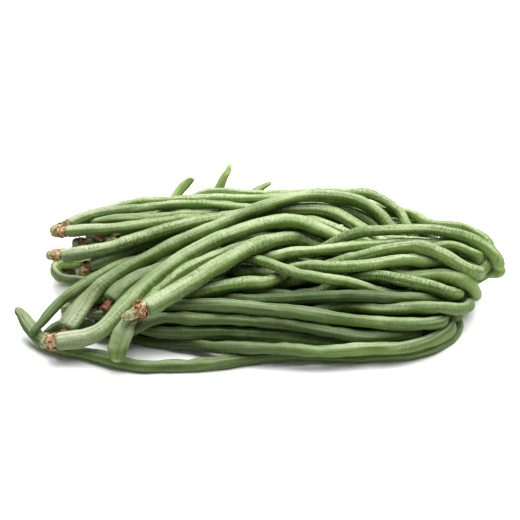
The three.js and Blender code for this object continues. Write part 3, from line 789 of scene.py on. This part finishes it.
@dataclass
class Pod:
    """One pod, modelled straight along +X and then bent along its bean's spine.

    Sizes are in millimetres. A pitch is the length of a patch of noise along the pod, and a Patch is that
    length with how many patches go round. A Span of what shows or grows gives where that starts and where it
    is full.
    """

    spine: Spine
    look: PodLook
    sides: int = 28
    ring_pitch: float = 0.95
    halvings: int = 3
    cap_rings: int = 5
    end_gap: float = 0.05
    blunt_depth: float = 2.6
    blunt_power: float = 2.4
    tip_depth: float = 3.4
    tip_rings_share: float = 0.9
    relief_grows: Span = (0.2, 0.9)
    wobble_grows: Span = (0.5, 1.0)
    wobble: float = 0.80
    sway_pitch: float = 34.0
    lift_pitch: float = 27.0
    squash: float = 0.32
    fold_shares: Span = (0.38, 0.56)
    seam_depth: float = 0.70
    seam_half: float = 0.75
    seam_drift: float = 0.16
    drift_pitch: float = 60.0
    seam_pitch: float = 38.0
    seam_shows: float = 0.70
    seam_least: float = 0.35
    back_seam_share: float = 0.6
    seam_shade_share: float = 0.9
    ridge_rise: float = 0.22
    ridge_away: float = 1.7
    groove_depth: float = 0.48
    groove_half: float = 0.70
    groove_away: float = 36.0
    groove_pitch: float = 46.0
    groove_shows: Span = (-0.6, 0.4)
    seed_pitch: float = 15.0
    seed_rise: float = 0.55
    seed_sink: float = 0.35
    seed_off: float = 2.5
    seed_sizes: Span = (0.35, 1.0)
    seed_half_share: float = 0.42
    pucker_rise: float = 0.20
    pucker_patch: Patch = (2.4, 7)
    pucker_slant: float = 0.5
    pucker_field: Patch = (30.0, 4)
    pucker_shows: Span = (-0.5, 0.6)
    lump_rise: float = 0.62
    lump_patch: Patch = (16.0, 4)
    knob_rise: float = 0.30
    knob_patch: Patch = (6.5, 5)
    neck_swell: float = 0.7
    neck_at: float = 9.0
    neck_reach: float = 13.0
    neck_pale: Span = (4.0, 55.0)
    tip_tint: Span = (45.0, 4.0)
    tip_smooth: Span = (40.0, 20.0)
    blade_from_tip: float = 12.0
    blade_reach: float = 12.0
    blade_width: float = 1.9
    blade_thin: float = 0.45
    blade_pale: float = 0.8
    # where and how patchily the painted shade and light lie along the pod
    painted_shading_places: Triple = (0.12, 0.48, 0.85)
    painted_shading_pitch: float = 55.0
    painted_shading_patchy: Span = (0.75, 0.50)
    shade_most: float = 0.97
    light_most: float = 0.90
    # how far the skin must face up to take the painted highlight
    painted_highlight_from: float = 0.50
    painted_highlight_full: float = 0.97
    grain_apart: float = 977.0

    def build(self, skin: bpy.types.Material) -> bpy.types.Object:
        """Models the pod and puts it in place of its solid.

        Args:
            skin: Its material.

        Returns:
            The finished piece.
        """
        pod = self._straight_tube()
        self._shape(pod)
        self._bend(pod)
        self._mark_painted_highlight(pod)
        pod.data.materials.append(skin)
        bpy.ops.object.shade_smooth()
        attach(pod, BODY)
        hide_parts(self.spine.pod_node)
        return pod

    @property
    def length(self) -> float:
        """Its length in millimetres."""
        return self.spine.length / MM

    def _straight_tube(self) -> bpy.types.Object:
        """Models a closed tube of unit size along +X, with its rings evenly apart.

        Returns:
            The tube, whose two ends are fans round a point.
        """
        deselect_all()
        bpy.ops.mesh.primitive_cylinder_add(
            vertices=self.sides,
            radius=1.0,
            depth=1.0,
            end_fill_type="TRIFAN",
            rotation=(0.0, math.pi / 2, 0.0),
        )
        pod = bpy.context.object
        pod.name = self.spine.name + "_skin"
        bpy.ops.object.transform_apply(location=True, rotation=True, scale=True)
        stretches = 2**self.halvings
        cuts = [1] * self.halvings + [round(self.length / self.ring_pitch / stretches) - 1]
        bpy.ops.object.mode_set(mode="EDIT")
        bpy.ops.mesh.select_mode(type="EDGE")
        for number_cuts in cuts:
            self._select_long_edges(pod.data)
            bpy.ops.mesh.subdivide(number_cuts=number_cuts)
        bpy.ops.object.mode_set(mode="OBJECT")
        return pod

    @staticmethod
    def _select_long_edges(mesh: bpy.types.Mesh) -> None:
        """Selects, in edit mode, the edges that run along the tube.

        Args:
            mesh: The tube's mesh.
        """
        work = bmesh.from_edit_mesh(mesh)
        for edge in work.edges:
            a, b = edge.verts
            edge.select_set(math.hypot(a.co.y - b.co.y, a.co.z - b.co.z) < TINY)
        work.select_flush_mode()
        bmesh.update_edit_mesh(mesh)

    def _ring_distances(self, count: int) -> np.ndarray:
        """Places the rings: close together on the two rounded ends, and evenly between them.

        Args:
            count: How many rings the tube has.

        Returns:
            Their distances along the pod.
        """
        bulge = 1 - np.cos(np.linspace(0.0, math.pi / 2, self.cap_rings + 1)[:-1])
        blunt = self.blunt_depth * bulge + self.end_gap
        tip_depth = self.tip_depth * self.tip_rings_share
        tip = self.length - tip_depth * bulge - self.end_gap
        first, last = self.blunt_depth + self.end_gap, self.length - tip_depth - self.end_gap
        body = np.linspace(first, last, count - 2 * self.cap_rings)
        return np.concatenate([blunt, body, tip[::-1]])

    def _shape(self, pod: bpy.types.Object) -> None:
        """Gives the tube its girth, its relief and the attributes that its skin reads.

        Args:
            pod: The straight tube.
        """
        places = vertex_places(pod.data)
        pole = np.hypot(places[:, 1], places[:, 2]) < TINY
        angle = np.arctan2(places[:, 2], places[:, 1])
        steps = np.unique(places[:, 0].round(6))
        ring = np.searchsorted(steps, places[:, 0].round(6))
        along = self._ring_distances(len(steps))[ring]
        along[pole] = np.where(places[pole, 0] < 0, 0.0, self.length)
        uneven = Unevenness(self.spine.number)
        wide = np.interp(along, self.spine.at / MM, self.spine.wide / MM)
        thick = np.interp(along, self.spine.at / MM, self.spine.thick / MM)
        seam, rise = self._relief(uneven, along, angle, (wide + thick) / 2)
        blade = self.look.blade * hump(self.length - along, self.blade_from_tip, self.blade_reach)
        swell = self.neck_swell * hump(along, self.neck_at, self.neck_reach)
        ends = self._end_share(along)
        rise = rise * ease(ends, *self.relief_grows)
        wide = (wide + self.blade_width * blade + swell) * ends + rise
        thick = (thick * (1 - self.blade_thin * blade) + swell) * ends + rise
        y, z = wide * np.cos(angle), thick * np.sin(angle)
        wobble = self.wobble * ease(ends, *self.wobble_grows)
        sway = wobble * uneven.lengthwise(along, self.sway_pitch)
        lift = wobble * uneven.lengthwise(along, self.lift_pitch)
        set_vertex_places(pod.data, np.stack([along, y + sway, z + lift], axis=1) * MM)
        offset = self.spine.number * self.grain_apart
        write_attribute(pod.data, "grain", np.stack([along + offset, y, z], axis=1))
        write_attribute(pod.data, "seam", seam)
        self._mark(pod.data, uneven, along, blade)

    def _mark(self, mesh: bpy.types.Mesh, uneven: Unevenness, along: np.ndarray, blade: np.ndarray) -> None:
        """Stores how pale and wrinkled the skin is, its painted shade and painted light, how dark its tip is,
        and the painted light on its tip.

        Args:
            mesh: The pod's mesh.
            uneven: The pod's own noise.
            along: Distances along the pod.
            blade: How far each place belongs to the tip's flat blade.
        """
        look = self.look
        neck = (1 - ease(along, *self.neck_pale)) * look.pale
        write_attribute(mesh, "pale", neck + self.blade_pale * blade)
        write_attribute(mesh, "wrinkle", look.wrinkled * (1 - self._towards_tip(along, self.tip_smooth)))
        even, varied = self.painted_shading_patchy
        patchy = even + varied * uneven.lengthwise(along, self.painted_shading_pitch)
        tone = np.interp(along / self.length, self.painted_shading_places, look.tone) * patchy
        # painted shade where above 0, painted light where below 0
        write_attribute(mesh, "shade", np.clip(tone, 0.0, self.shade_most))
        write_attribute(mesh, "light", np.clip(-tone, 0.0, self.light_most))
        tip = self._towards_tip(along, self.tip_tint)
        write_attribute(mesh, "tip", tip * max(look.tip_dark_or_painted_light, 0.0))
        # painted light on the tip
        write_attribute(mesh, "young", tip * max(-look.tip_dark_or_painted_light, 0.0))

    def _towards_tip(self, along: np.ndarray, span: Span) -> np.ndarray:
        """Returns a smooth step up between two distances from the tip."""
        return ease(along, self.length - span[0], self.length - span[1])

    def _end_share(self, along: np.ndarray) -> np.ndarray:
        """Rounds the two ends: blunt at the stem end, narrower at the tip.

        Args:
            along: Distances along the pod.

        Returns:
            The share of the full girth there.
        """
        blunt = 1 - np.clip(along / self.blunt_depth, 0.0, 1.0)
        tip = 1 - np.clip((self.length - along) / self.tip_depth, 0.0, 1.0)
        return (1 - blunt**self.blunt_power) ** (1 / self.blunt_power) * np.sqrt(1 - tip**2)

    def _relief(
        self, uneven: Unevenness, along: np.ndarray, angle: np.ndarray, radius: np.ndarray
    ) -> tuple[np.ndarray, np.ndarray]:
        """Works out the skin's relief.

        Args:
            uneven: The pod's own noise.
            along: Distances along the pod.
            angle: Angles round it.
            radius: Half its girth there.

        Returns:
            How much painted shade lies in the seams and grooves, and how far the skin stands out.
        """
        look = self.look
        dark, rise = self._seams(uneven, along, angle, radius)
        rise += self.seed_rise * look.swollen * (self._seeds(uneven, along) - self.seed_sink)
        slanted = along + self.pucker_slant * np.sin(angle * 2 + 1)
        puckers = uneven.over(slanted, angle, *self.pucker_patch)
        patches = ease(uneven.over(along, angle, *self.pucker_field), *self.pucker_shows)
        rise += self.pucker_rise * look.wrinkled * puckers * patches
        rise += self.lump_rise * uneven.over(along, angle, *self.lump_patch)
        rise += self.knob_rise * uneven.over(along, angle, *self.knob_patch)
        return dark, rise

    def _seams(
        self, uneven: Unevenness, along: np.ndarray, angle: np.ndarray, radius: np.ndarray
    ) -> tuple[np.ndarray, np.ndarray]:
        """Works out the two seams, which turn a little at the fold, and the grooves beside one of them.

        Args:
            uneven: The pod's own noise.
            along: Distances along the pod.
            angle: Angles round it.
            radius: Half its girth there.

        Returns:
            How much painted shade lies in the seams and grooves, and how far the skin stands out.
        """
        look = self.look
        turn = ease(along, *(self.length * share for share in self.fold_shares))
        start, end = (math.radians(a) for a in look.seams)
        drift = self.seam_drift * uneven.lengthwise(along, self.drift_pitch)
        seam_at = start + (end - start) * turn + drift
        patchy = self.seam_shows + (1 - self.seam_shows) * uneven.lengthwise(along, self.seam_pitch)
        deep = self.seam_depth * (self.seam_least + (1 - self.seam_least) * look.grooved)
        groove = self.groove_depth * look.grooved
        lines = [
            (0.0, deep, self.seam_half),
            (math.pi, deep * self.back_seam_share, self.seam_half),
            (math.radians(-self.groove_away), groove, self.groove_half),
            (math.radians(self.groove_away), groove, self.groove_half),
        ]
        dark = np.zeros_like(along)
        rise = self.squash * np.cos(2 * (angle - seam_at))
        for away, depth, half in lines:
            strength = patchy
            if away:
                strength = ease(uneven.lengthwise(along, self.groove_pitch), *self.groove_shows)
            off = np.abs((angle - seam_at - away + math.pi) % TURN - math.pi) * radius
            line = hump(off, 0.0, half) * strength
            ridge = hump(off, self.ridge_away, half) * strength
            rise += self.ridge_rise * ridge * depth / self.seam_depth - depth * line
            # the painted shade lies along the sunken line
            dark = np.maximum(dark, line * depth / self.seam_depth)
        return dark * self.seam_shade_share, rise

    def _seeds(self, uneven: Unevenness, along: np.ndarray) -> np.ndarray:
        """Sets seeds of uneven size in a row.

        Args:
            uneven: The pod's own noise.
            along: Distances along the pod.

        Returns:
            How far each distance lies on a seed's swelling, from 0 to 1.
        """
        count = int(self.length / self.seed_pitch)
        off = uneven.draw.uniform(-self.seed_off, self.seed_off, count)
        places = (np.arange(count) + 0.5) * self.seed_pitch + off
        sizes = uneven.draw.uniform(*self.seed_sizes, count)
        nearest = np.abs(along[:, None] - places[None, :]).argmin(axis=1)
        return sizes[nearest] * hump(along, places[nearest], self.seed_pitch * self.seed_half_share)

    def _bend(self, pod: bpy.types.Object) -> None:
        """Bends the straight pod along its spine, and lays it flat where it meets the ground.

        Args:
            pod: The straight pod.
        """
        path = bpy.data.curves.new(self.spine.name + "_path", "CURVE")
        path.dimensions = "3D"
        path.twist_mode = "Z_UP"
        line = path.splines.new("POLY")
        line.points.add(len(self.spine.line) - 1)
        line.points.foreach_set("co", np.insert(self.spine.line, 3, 1.0, axis=1).ravel())
        guide = bpy.data.objects.new(path.name, path)
        bpy.context.scene.collection.objects.link(guide)
        modifier = pod.modifiers.new("bend", "CURVE")
        modifier.object = guide
        modifier.deform_axis = "POS_X"
        apply_all(pod)
        bpy.data.objects.remove(guide)
        bpy.data.curves.remove(path)
        places = vertex_places(pod.data)
        places[:, 2] = np.maximum(places[:, 2], 0.0)
        set_vertex_places(pod.data, places)

    def _mark_painted_highlight(self, pod: bpy.types.Object) -> None:
        """Marks where the skin faces up, which the skin's material paints with a pale highlight.

        Args:
            pod: The bent pod.
        """
        normals = np.empty(len(pod.data.vertices) * 3, np.float32)
        pod.data.vertex_normals.foreach_get("vector", normals)
        facing_up = ease(normals.reshape(-1, 3)[:, 2], self.painted_highlight_from, self.painted_highlight_full)
        write_attribute(pod.data, "bloom", facing_up)


# ---- stem ends ---------------------------------------------------------------------------------------


class StemKind(Enum):
    """How a bean's stem end has dried."""

    NEAT = "neat"
    RAGGED = "ragged"
    FRAYED = "frayed"
    SHED = "shed"
    BARE = "bare"


STEM_KINDS: dict[StemKind, tuple[int, ...]] = {
    StemKind.NEAT: (2, 3, 8, 14, 16, 19, 21, 24, 26),
    StemKind.RAGGED: (5, 6, 7, 9, 11, 12, 15, 18, 20, 23, 25, 27),
    StemKind.FRAYED: (1,),
    StemKind.SHED: (4, 10),
    StemKind.BARE: (13, 17, 22),
}


@dataclass(frozen=True)
class StemTrim:
    """How much loose tissue one kind of stem end carries.

    Attributes:
        lobes: How many torn lobes it has.
        fibres: How many dry fibres it has.
        flare: How far its lobes stand off.
        lumpy: How uneven its cup is.
        cup: Its cup's girth as a share of the rim's.
        stub: The finish of its stub of stalk.
        rind: The finish of its cup.
        torn: The finish of every third lobe.
        kept: How much of its stub of stalk is left.
        reach: How much longer its lobes are than a neat one's.
        tangle: How much longer its fibres are than a neat one's.
    """

    lobes: int
    fibres: int
    flare: float
    lumpy: float
    cup: float
    stub: DryStem = STALK
    rind: DryStem = CALYX
    torn: DryStem = CALYX
    kept: float = 1.0
    reach: float = 1.0
    tangle: float = 1.0


TRIMS: dict[StemKind, StemTrim] = {
    StemKind.NEAT: StemTrim(7, 1, 0.15, 0.5, 1.06),
    StemKind.RAGGED: StemTrim(16, 4, 0.7, 1.2, 1.05),
    StemKind.FRAYED: StemTrim(8, 26, 1.0, 1.0, 0.82, torn=FIBRE, tangle=2.3),
    StemKind.SHED: StemTrim(9, 6, 1.5, 0.9, 0.46, SHARD, SHARD, FIBRE, kept=0.2, reach=2.0),
    StemKind.BARE: StemTrim(2, 0, 0.2, 0.5, 0.90, STALK, STALK, STALK, kept=0.3),
}


@dataclass(frozen=True)
class Lobe:
    """A torn, curled lobe of the calyx. Millimetres and radians; a pair gives the least and the most."""

    rows: int = 6
    columns: int = 4
    long: Span = (1.8, 3.4)
    broad: Span = (1.0, 2.0)
    flare: Span = (-0.1, 0.9)
    turn_step: float = 2.4
    turn_off: Span = (-0.4, 0.4)
    from_back: float = 0.8
    from_rim: float = 0.6
    proud: float = 1.02
    clear: float = 0.1
    flare_rise: float = 0.55
    flare_shortens: float = 0.4
    crinkle: Span = (-0.14, 0.14)
    narrowing: Span = (0.5, 0.9)
    narrowing_power: float = 1.6
    skew: Span = (-0.3, 0.3)
    wall: float = 0.18

    def model(self, draw: np.random.Generator, index: int, end: "StemEnd") -> bpy.types.Object:
        """Models one lobe.

        Args:
            draw: The stem end's own draw.
            index: The lobe's number.
            end: The stem end that carries it.

        Returns:
            The lobe, with its finish.
        """
        deselect_all()
        bpy.ops.mesh.primitive_grid_add(x_subdivisions=self.rows, y_subdivisions=self.columns, size=1.0)
        lobe = bpy.context.object
        places = vertex_places(lobe.data)
        u, v = places[:, 0] + 0.5, places[:, 1] * 2
        long = draw.uniform(*self.long) * end.trim.reach
        broad = draw.uniform(*self.broad)
        flare = draw.uniform(*self.flare) * end.trim.flare
        turn = index * self.turn_step + draw.uniform(*self.turn_off)
        root = draw.uniform(-end.cup_back + self.from_back, -self.from_rim)
        radius = end.cup_radius * self.proud + flare * u**2 * long * self.flare_rise + self.clear
        radius += draw.uniform(*self.crinkle, len(u))
        narrow = 1 - u**self.narrowing_power * draw.uniform(*self.narrowing)
        angle = turn + v * broad / end.rim * narrow + draw.uniform(*self.skew) * u
        x = root + u * long * (1 - self.flare_shortens * max(flare, 0.0))
        placed = np.stack([x, radius * np.cos(angle), radius * np.sin(angle)], axis=1)
        set_vertex_places(lobe.data, placed)
        wall = lobe.modifiers.new("wall", "SOLIDIFY")
        wall.thickness = self.wall
        wall.offset = 0.0
        apply_all(lobe)
        finish = end.trim.torn if index % 3 == 0 else end.trim.rind
        lobe.data.materials.append(bpy.data.materials[finish.name])
        bpy.ops.object.shade_smooth()
        return lobe


@dataclass(frozen=True)
class LooseFibre:
    """A dry, curled fibre that stands off the calyx. Millimetres; a pair gives the least and the most."""

    points: int = 14
    root: Span = (-4.6, 0.2)
    reach: Span = (1.3, 2.6)
    curl: Span = (2.0, 6.0)
    drift: Span = (-1.0, 1.0)
    sweep: Span = (-1.1, 1.1)
    sunk: float = 0.95
    arch: float = 0.5
    arch_turn: float = 2.3
    wave: float = 0.5
    wave_turn: float = 1.7
    coil: float = 0.35
    girth: Span = (0.24, 0.42)
    tapered: float = 0.7
    red_share: float = 0.75

    def model(self, draw: np.random.Generator, end: "StemEnd") -> bpy.types.Object:
        """Models one fibre.

        Args:
            draw: The stem end's own draw.
            end: The stem end that carries it.

        Returns:
            The fibre, with its finish.
        """
        turn = draw.uniform(0.0, TURN)
        root = draw.uniform(*self.root)
        reach = draw.uniform(*self.reach) * end.trim.tangle
        curl = draw.uniform(*self.curl)
        drift = draw.uniform(*self.drift)
        t = np.linspace(0.0, 1.0, self.points)
        radius = end.cup_radius * self.sunk + reach * self.arch * np.sin(t * self.arch_turn)
        x = root + drift * reach * t + self.wave * np.sin(t * curl * self.wave_turn)
        angle = turn + self.coil * np.sin(t * curl) + t * draw.uniform(*self.sweep)
        deselect_all()
        bpy.ops.curve.primitive_nurbs_path_add()
        fibre = bpy.context.object
        curve = fibre.data
        curve.splines.clear()
        spline = curve.splines.new("POLY")
        spline.points.add(self.points - 1)
        for point, *place, share in zip(spline.points, x, radius * np.cos(angle), radius * np.sin(angle), t):
            point.co = (*place, 1.0)
            point.radius = 1.0 - self.tapered * share
        curve.bevel_depth = draw.uniform(*self.girth)
        curve.bevel_resolution = 1
        curve.use_fill_caps = True
        bpy.ops.object.convert(target="MESH")
        finish = FIBRE if draw.random() < self.red_share else CALYX
        fibre.data.materials.clear()
        fibre.data.materials.append(bpy.data.materials[finish.name])
        return fibre


@dataclass
class StemEnd:
    """The dry calyx and the stalk's stub, modelled along +X, which points at the pod. Millimetres."""

    kind: StemKind
    seed: int
    sides: int = 22
    length: float = 9.0
    stub_radius: float = 2.75
    nub_share: float = 0.38
    nub_depth: float = 0.2
    hollow: float = 0.35
    hollow_share: float = 0.5
    hollow_back: float = 0.5
    cup_back: float = 5.6
    overlap: float = 1.9
    rim: float = 4.0
    lumps: tuple[tuple[float, int, float], ...] = ((1.2, 9, 0.13), (2.6, 4, 0.13), (0.7, 16, 0.06))
    stub_lumpy: float = 0.45
    cup_lumpy: float = 0.9
    cup_grows: float = 1.5
    edge_from: float = 0.4
    tear: float = 0.9
    tears_round: tuple[int, int] = (11, 5)
    small_tear: float = 0.6
    stain: float = 0.5
    lobe: Lobe = Lobe()
    fibre: LooseFibre = LooseFibre()

    @property
    def trim(self) -> StemTrim:
        """The loose tissue of its kind."""
        return TRIMS[self.kind]

    @property
    def cup_radius(self) -> float:
        """The radius of its cup."""
        return self.rim * self.trim.cup

    def model(self) -> bpy.types.Object:
        """Models it at the origin, its pod's end at x = 0.

        Returns:
            One object of its core, its lobes and its fibres.
        """
        draw = np.random.default_rng(self.seed)
        core = self._core(draw)
        lobes = [self.lobe.model(draw, index, self) for index in range(self.trim.lobes)]
        fibres = [self.fibre.model(draw, self) for _ in range(self.trim.fibres)]
        deselect_all()
        for part in (*lobes, *fibres, core):
            part.select_set(True)
        bpy.context.view_layer.objects.active = core
        bpy.ops.object.join()
        bpy.ops.object.transform_apply(location=True, rotation=True, scale=True)
        return core

    def _profile(self) -> list[Span]:
        """Lists the core's rings, after its cut end.

        Returns:
            Each ring's place along X and its radius.
        """
        cut, back, stub, rim = -self.length, -self.cup_back, self.stub_radius, self.cup_radius
        return [
            (cut + 0.35, stub * 0.66),
            (cut + 0.9, stub * 0.86),
            (cut + 1.7, stub * 1.00),
            (cut + 2.4, stub * 1.05),
            (back - 0.7, stub * 1.02),
            (back, stub * 1.12),
            (back + 0.6, rim * 0.86),
            (back + 1.5, rim * 0.98),
            (back + 3.0, rim * 1.04),
            (-1.2, rim * 1.02),
            (0.3, rim * 1.00),
            (self.overlap * 0.7, rim * 1.01),
            (self.overlap, rim * 0.93),
        ]

    def _core(self, draw: np.random.Generator) -> bpy.types.Object:
        """Models the stub of stalk and the lumpy cup that it widens into.

        Args:
            draw: The stem end's own draw.

        Returns:
            The core, with its finishes.
        """
        last_x, last_radius = self.nub_depth / 2 - self.length, self.stub_radius * self.nub_share
        deselect_all()
        bpy.ops.mesh.primitive_cylinder_add(
            vertices=self.sides,
            radius=last_radius,
            depth=self.nub_depth,
            location=(-self.length, 0.0, 0.0),
            rotation=(0.0, math.pi / 2, 0.0),
        )
        core = bpy.context.object
        bpy.ops.object.transform_apply(location=True, rotation=True, scale=True)
        bpy.ops.object.mode_set(mode="EDIT")
        bpy.ops.mesh.select_mode(type="FACE")
        for x, radius in self._profile():
            self._select_end_face(core.data)
            bpy.ops.mesh.extrude_region_move(TRANSFORM_OT_translate={"value": (x - last_x, 0.0, 0.0)})
            share = radius / last_radius
            bpy.ops.transform.resize(value=(1.0, share, share))
            last_x, last_radius = x, radius
        bpy.ops.mesh.select_all(action="SELECT")
        bpy.ops.mesh.subdivide(number_cuts=1)
        bpy.ops.object.mode_set(mode="OBJECT")
        self._crumple(core)
        for finish in (self.trim.stub, self.trim.rind):
            core.data.materials.append(bpy.data.materials[finish.name])
        for polygon in core.data.polygons:
            border = draw.uniform(-self.stain, self.stain) - self.cup_back
            polygon.material_index = 1 if polygon.center.x > border else 0
        take(core)
        bpy.ops.object.shade_smooth()
        return core

    def _crumple(self, core: bpy.types.Object) -> None:
        """Makes the core lumpy, its cup's edge ragged and its cut end hollow.

        Args:
            core: The smooth core.
        """
        places = vertex_places(core.data)
        angle = np.arctan2(places[:, 2], places[:, 1])
        along = places[:, 0] - places[:, 0].min()
        uneven = Unevenness(self.seed)
        lumps = sum(uneven.over(along, angle, patch, count) * rise for patch, count, rise in self.lumps)
        cup = ease(places[:, 0], -self.cup_back, -self.cup_back + self.cup_grows)
        edge = ease(places[:, 0], self.edge_from, self.overlap)
        large, small = (uneven.over(along * 0, angle, 1.0, count) for count in self.tears_round)
        middle = np.hypot(places[:, 1], places[:, 2]) < self.hollow_share * self.stub_radius
        at_cut = along < self.hollow_back
        places[:, 0] += self.tear * edge * (large + self.small_tear * small) * self.trim.lumpy
        places[:, 0] += np.where(middle & at_cut, self.hollow, 0.0)
        places[:, 1:] *= 1 + (lumps * (self.stub_lumpy + self.cup_lumpy * cup * self.trim.lumpy))[:, None]
        set_vertex_places(core.data, places)

    @staticmethod
    def _select_end_face(mesh: bpy.types.Mesh) -> None:
        """Selects, in edit mode, the one face at the end that looks along +X.

        Args:
            mesh: The core's mesh.
        """
        work = bmesh.from_edit_mesh(mesh)
        for face in work.faces:
            face.select_set(False)
        facing = [face for face in work.faces if face.normal.x > 0.9]
        max(facing, key=lambda face: face.calc_center_median().x).select_set(True)
        bmesh.update_edit_mesh(mesh)


class StemEnds:
    """The stem ends of all the beans, modelled once for each kind and copied."""

    first_seed = 11
    girth_share = 0.93
    widens_over = 2.0
    roll_step = 2.1

    def __init__(self) -> None:
        """Makes their finishes and models the kinds."""
        for finish in (STALK, CALYX, FIBRE, SHARD):
            finish.make()
        self.ends = {kind: StemEnd(kind, self.first_seed + i) for i, kind in enumerate(StemKind)}
        self.masters = {kind: end.model() for kind, end in self.ends.items()}

    def place(self, spine: Spine) -> bpy.types.Object:
        """Puts a copy of a stem end in place of its solid.

        Args:
            spine: The bean it belongs to.

        Returns:
            The finished piece.
        """
        kind = next(kind for kind, beans in STEM_KINDS.items() if spine.number in beans)
        piece = bpy.data.objects.new(spine.name + "_stem_dry", self.masters[kind].data.copy())
        bpy.context.scene.collection.objects.link(piece)
        stalk = Vector(spine.stalk[-1] - spine.stalk[0])
        places = self._fitted(vertex_places(piece.data), self.ends[kind], spine, stalk.length / MM)
        roll = Matrix.Rotation(spine.number * self.roll_step, 3, "X")
        axes = Matrix(axes_along(stalk.normalized())).transposed() @ roll
        placed = places * MM @ np.array(axes).T + spine.stalk[-1]
        placed[:, 2] = np.maximum(placed[:, 2], 0.0)
        set_vertex_places(piece.data, placed)
        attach(piece, BODY)
        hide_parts(spine.stem_node)
        return piece

    def _fitted(self, places: np.ndarray, end: StemEnd, spine: Spine, stalk_length: float) -> np.ndarray:
        """Fits a stem end to its bean: its stub to the stalk's length, its cup to the pod's girth.

        Args:
            places: The places of the model's vertices.
            end: The sizes it was modelled to.
            spine: The bean it belongs to.
            stalk_length: The length of the solid it replaces, in millimetres.

        Returns:
            The new places.
        """
        stub_length = (stalk_length - end.cup_back) * end.trim.kept
        stub = places[:, 0] < -end.cup_back
        past = places[stub, 0] + end.cup_back
        places[stub, 0] = past * stub_length / (end.length - end.cup_back) - end.cup_back
        girth = float(spine.wide[0] + spine.thick[0]) / 2 / MM * self.girth_share
        share = ease(places[:, 0], -end.cup_back, -end.cup_back + self.widens_over)[:, None]
        places[:, 1:] *= 1 + share * (girth / end.rim - 1)
        return places

    def clear(self) -> None:
        """Removes the masters once every bean has its copy."""
        for master in self.masters.values():
            bpy.data.objects.remove(master)


# ---- the set -----------------------------------------------------------------------------------------


@dataclass
class Studio:
    """A pale floor, soft light and the camera. Metres."""

    look_angle: float = math.radians(35.0)
    look_distance: float = 0.9
    aim: Triple = (-0.00066, 0.01259, 0.020)
    seen_across: float = 0.312
    nearest_seen: float = 0.05
    floor_size: float = 6.0
    floor_drop: float = 0.0001
    floor_shades: Span = (0.80, 0.82)
    floor_tooth: float = 90.0
    sky: float = 0.25
    lamp_place: Triple = (0.16, 0.20, 1.00)
    lamp_size: float = 1.3
    lamp_power: float = 49.5

    def build(self) -> None:
        """Sets all of it up."""
        self._floor()
        self._sky()
        self._lamp()
        self._camera()
        bpy.context.scene.view_settings.view_transform = "Standard"

    def _floor(self) -> None:
        """Lays a pale sheet, finely uneven, a hair under the beans."""
        deselect_all()
        bpy.ops.mesh.primitive_plane_add(size=self.floor_size, location=(0.0, 0.0, -self.floor_drop))
        floor = bpy.context.object
        floor.name = "floor"
        tree = NodeTree("floor_paper")
        tooth = tree.noise(tree.object_place(), (self.floor_tooth,) * 3)
        colour = tree.mix(tooth, *((shade, shade, shade, 1.0) for shade in self.floor_shades))
        finish = {"Base Color": colour, "Roughness": 0.9, "Specular IOR Level": 0.1}
        floor.data.materials.append(tree.finish(finish))

    def _sky(self) -> None:
        """Fills the shade a little from all round."""
        world = bpy.data.worlds.new("studio")
        bpy.context.scene.world = world
        world.use_nodes = True
        background = world.node_tree.nodes["Background"]
        background.inputs["Color"].default_value = (1.0, 1.0, 1.0, 1.0)
        background.inputs["Strength"].default_value = self.sky

    def _lamp(self) -> None:
        """Hangs a square soft light overhead that faces the beans."""
        light = bpy.data.lights.new("overhead", "AREA")
        light.size = self.lamp_size
        light.energy = self.lamp_power
        lamp = bpy.data.objects.new("overhead", light)
        lamp.location = self.lamp_place
        lamp.rotation_euler = (-Vector(self.lamp_place)).to_track_quat("-Z", "Y").to_euler()
        bpy.context.scene.collection.objects.link(lamp)

    def _camera(self) -> None:
        """Sets the camera up, looking down at the heap from its steep front."""
        lens = bpy.data.cameras.new("camera")
        lens.angle = 2 * math.atan(self.seen_across / 2 / self.look_distance)
        lens.clip_start = self.nearest_seen
        camera = bpy.data.objects.new("camera", lens)
        back = Vector((0.0, -math.cos(self.look_angle), math.sin(self.look_angle)))
        camera.location = Vector(self.aim) + back * self.look_distance
        camera.rotation_euler = back.to_track_quat("Z", "Y").to_euler()
        bpy.context.scene.collection.objects.link(camera)
        bpy.context.scene.camera = camera


# ---- the bunch ---------------------------------------------------------------------------------------


def main() -> None:
    """Builds the bunch and its set, and reports each piece."""
    logging.basicConfig(level=logging.INFO, format="%(name)s: %(message)s")
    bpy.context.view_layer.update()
    skin = PodSkin().make()
    stem_ends = StemEnds()
    for number in range(1, BEANS + 1):
        spine = Spine(number)
        pod = Pod(spine, LOOKS.get(number, PodLook())).build(skin)
        stem_end = stem_ends.place(spine)
        log.info("%s: %.0f mm, %d faces", pod.name, spine.length / MM, len(pod.data.polygons))
        log.info("%s: %d faces", stem_end.name, len(stem_end.data.polygons))
    stem_ends.clear()
    Studio().build()


if __name__ == "__main__":
    main()
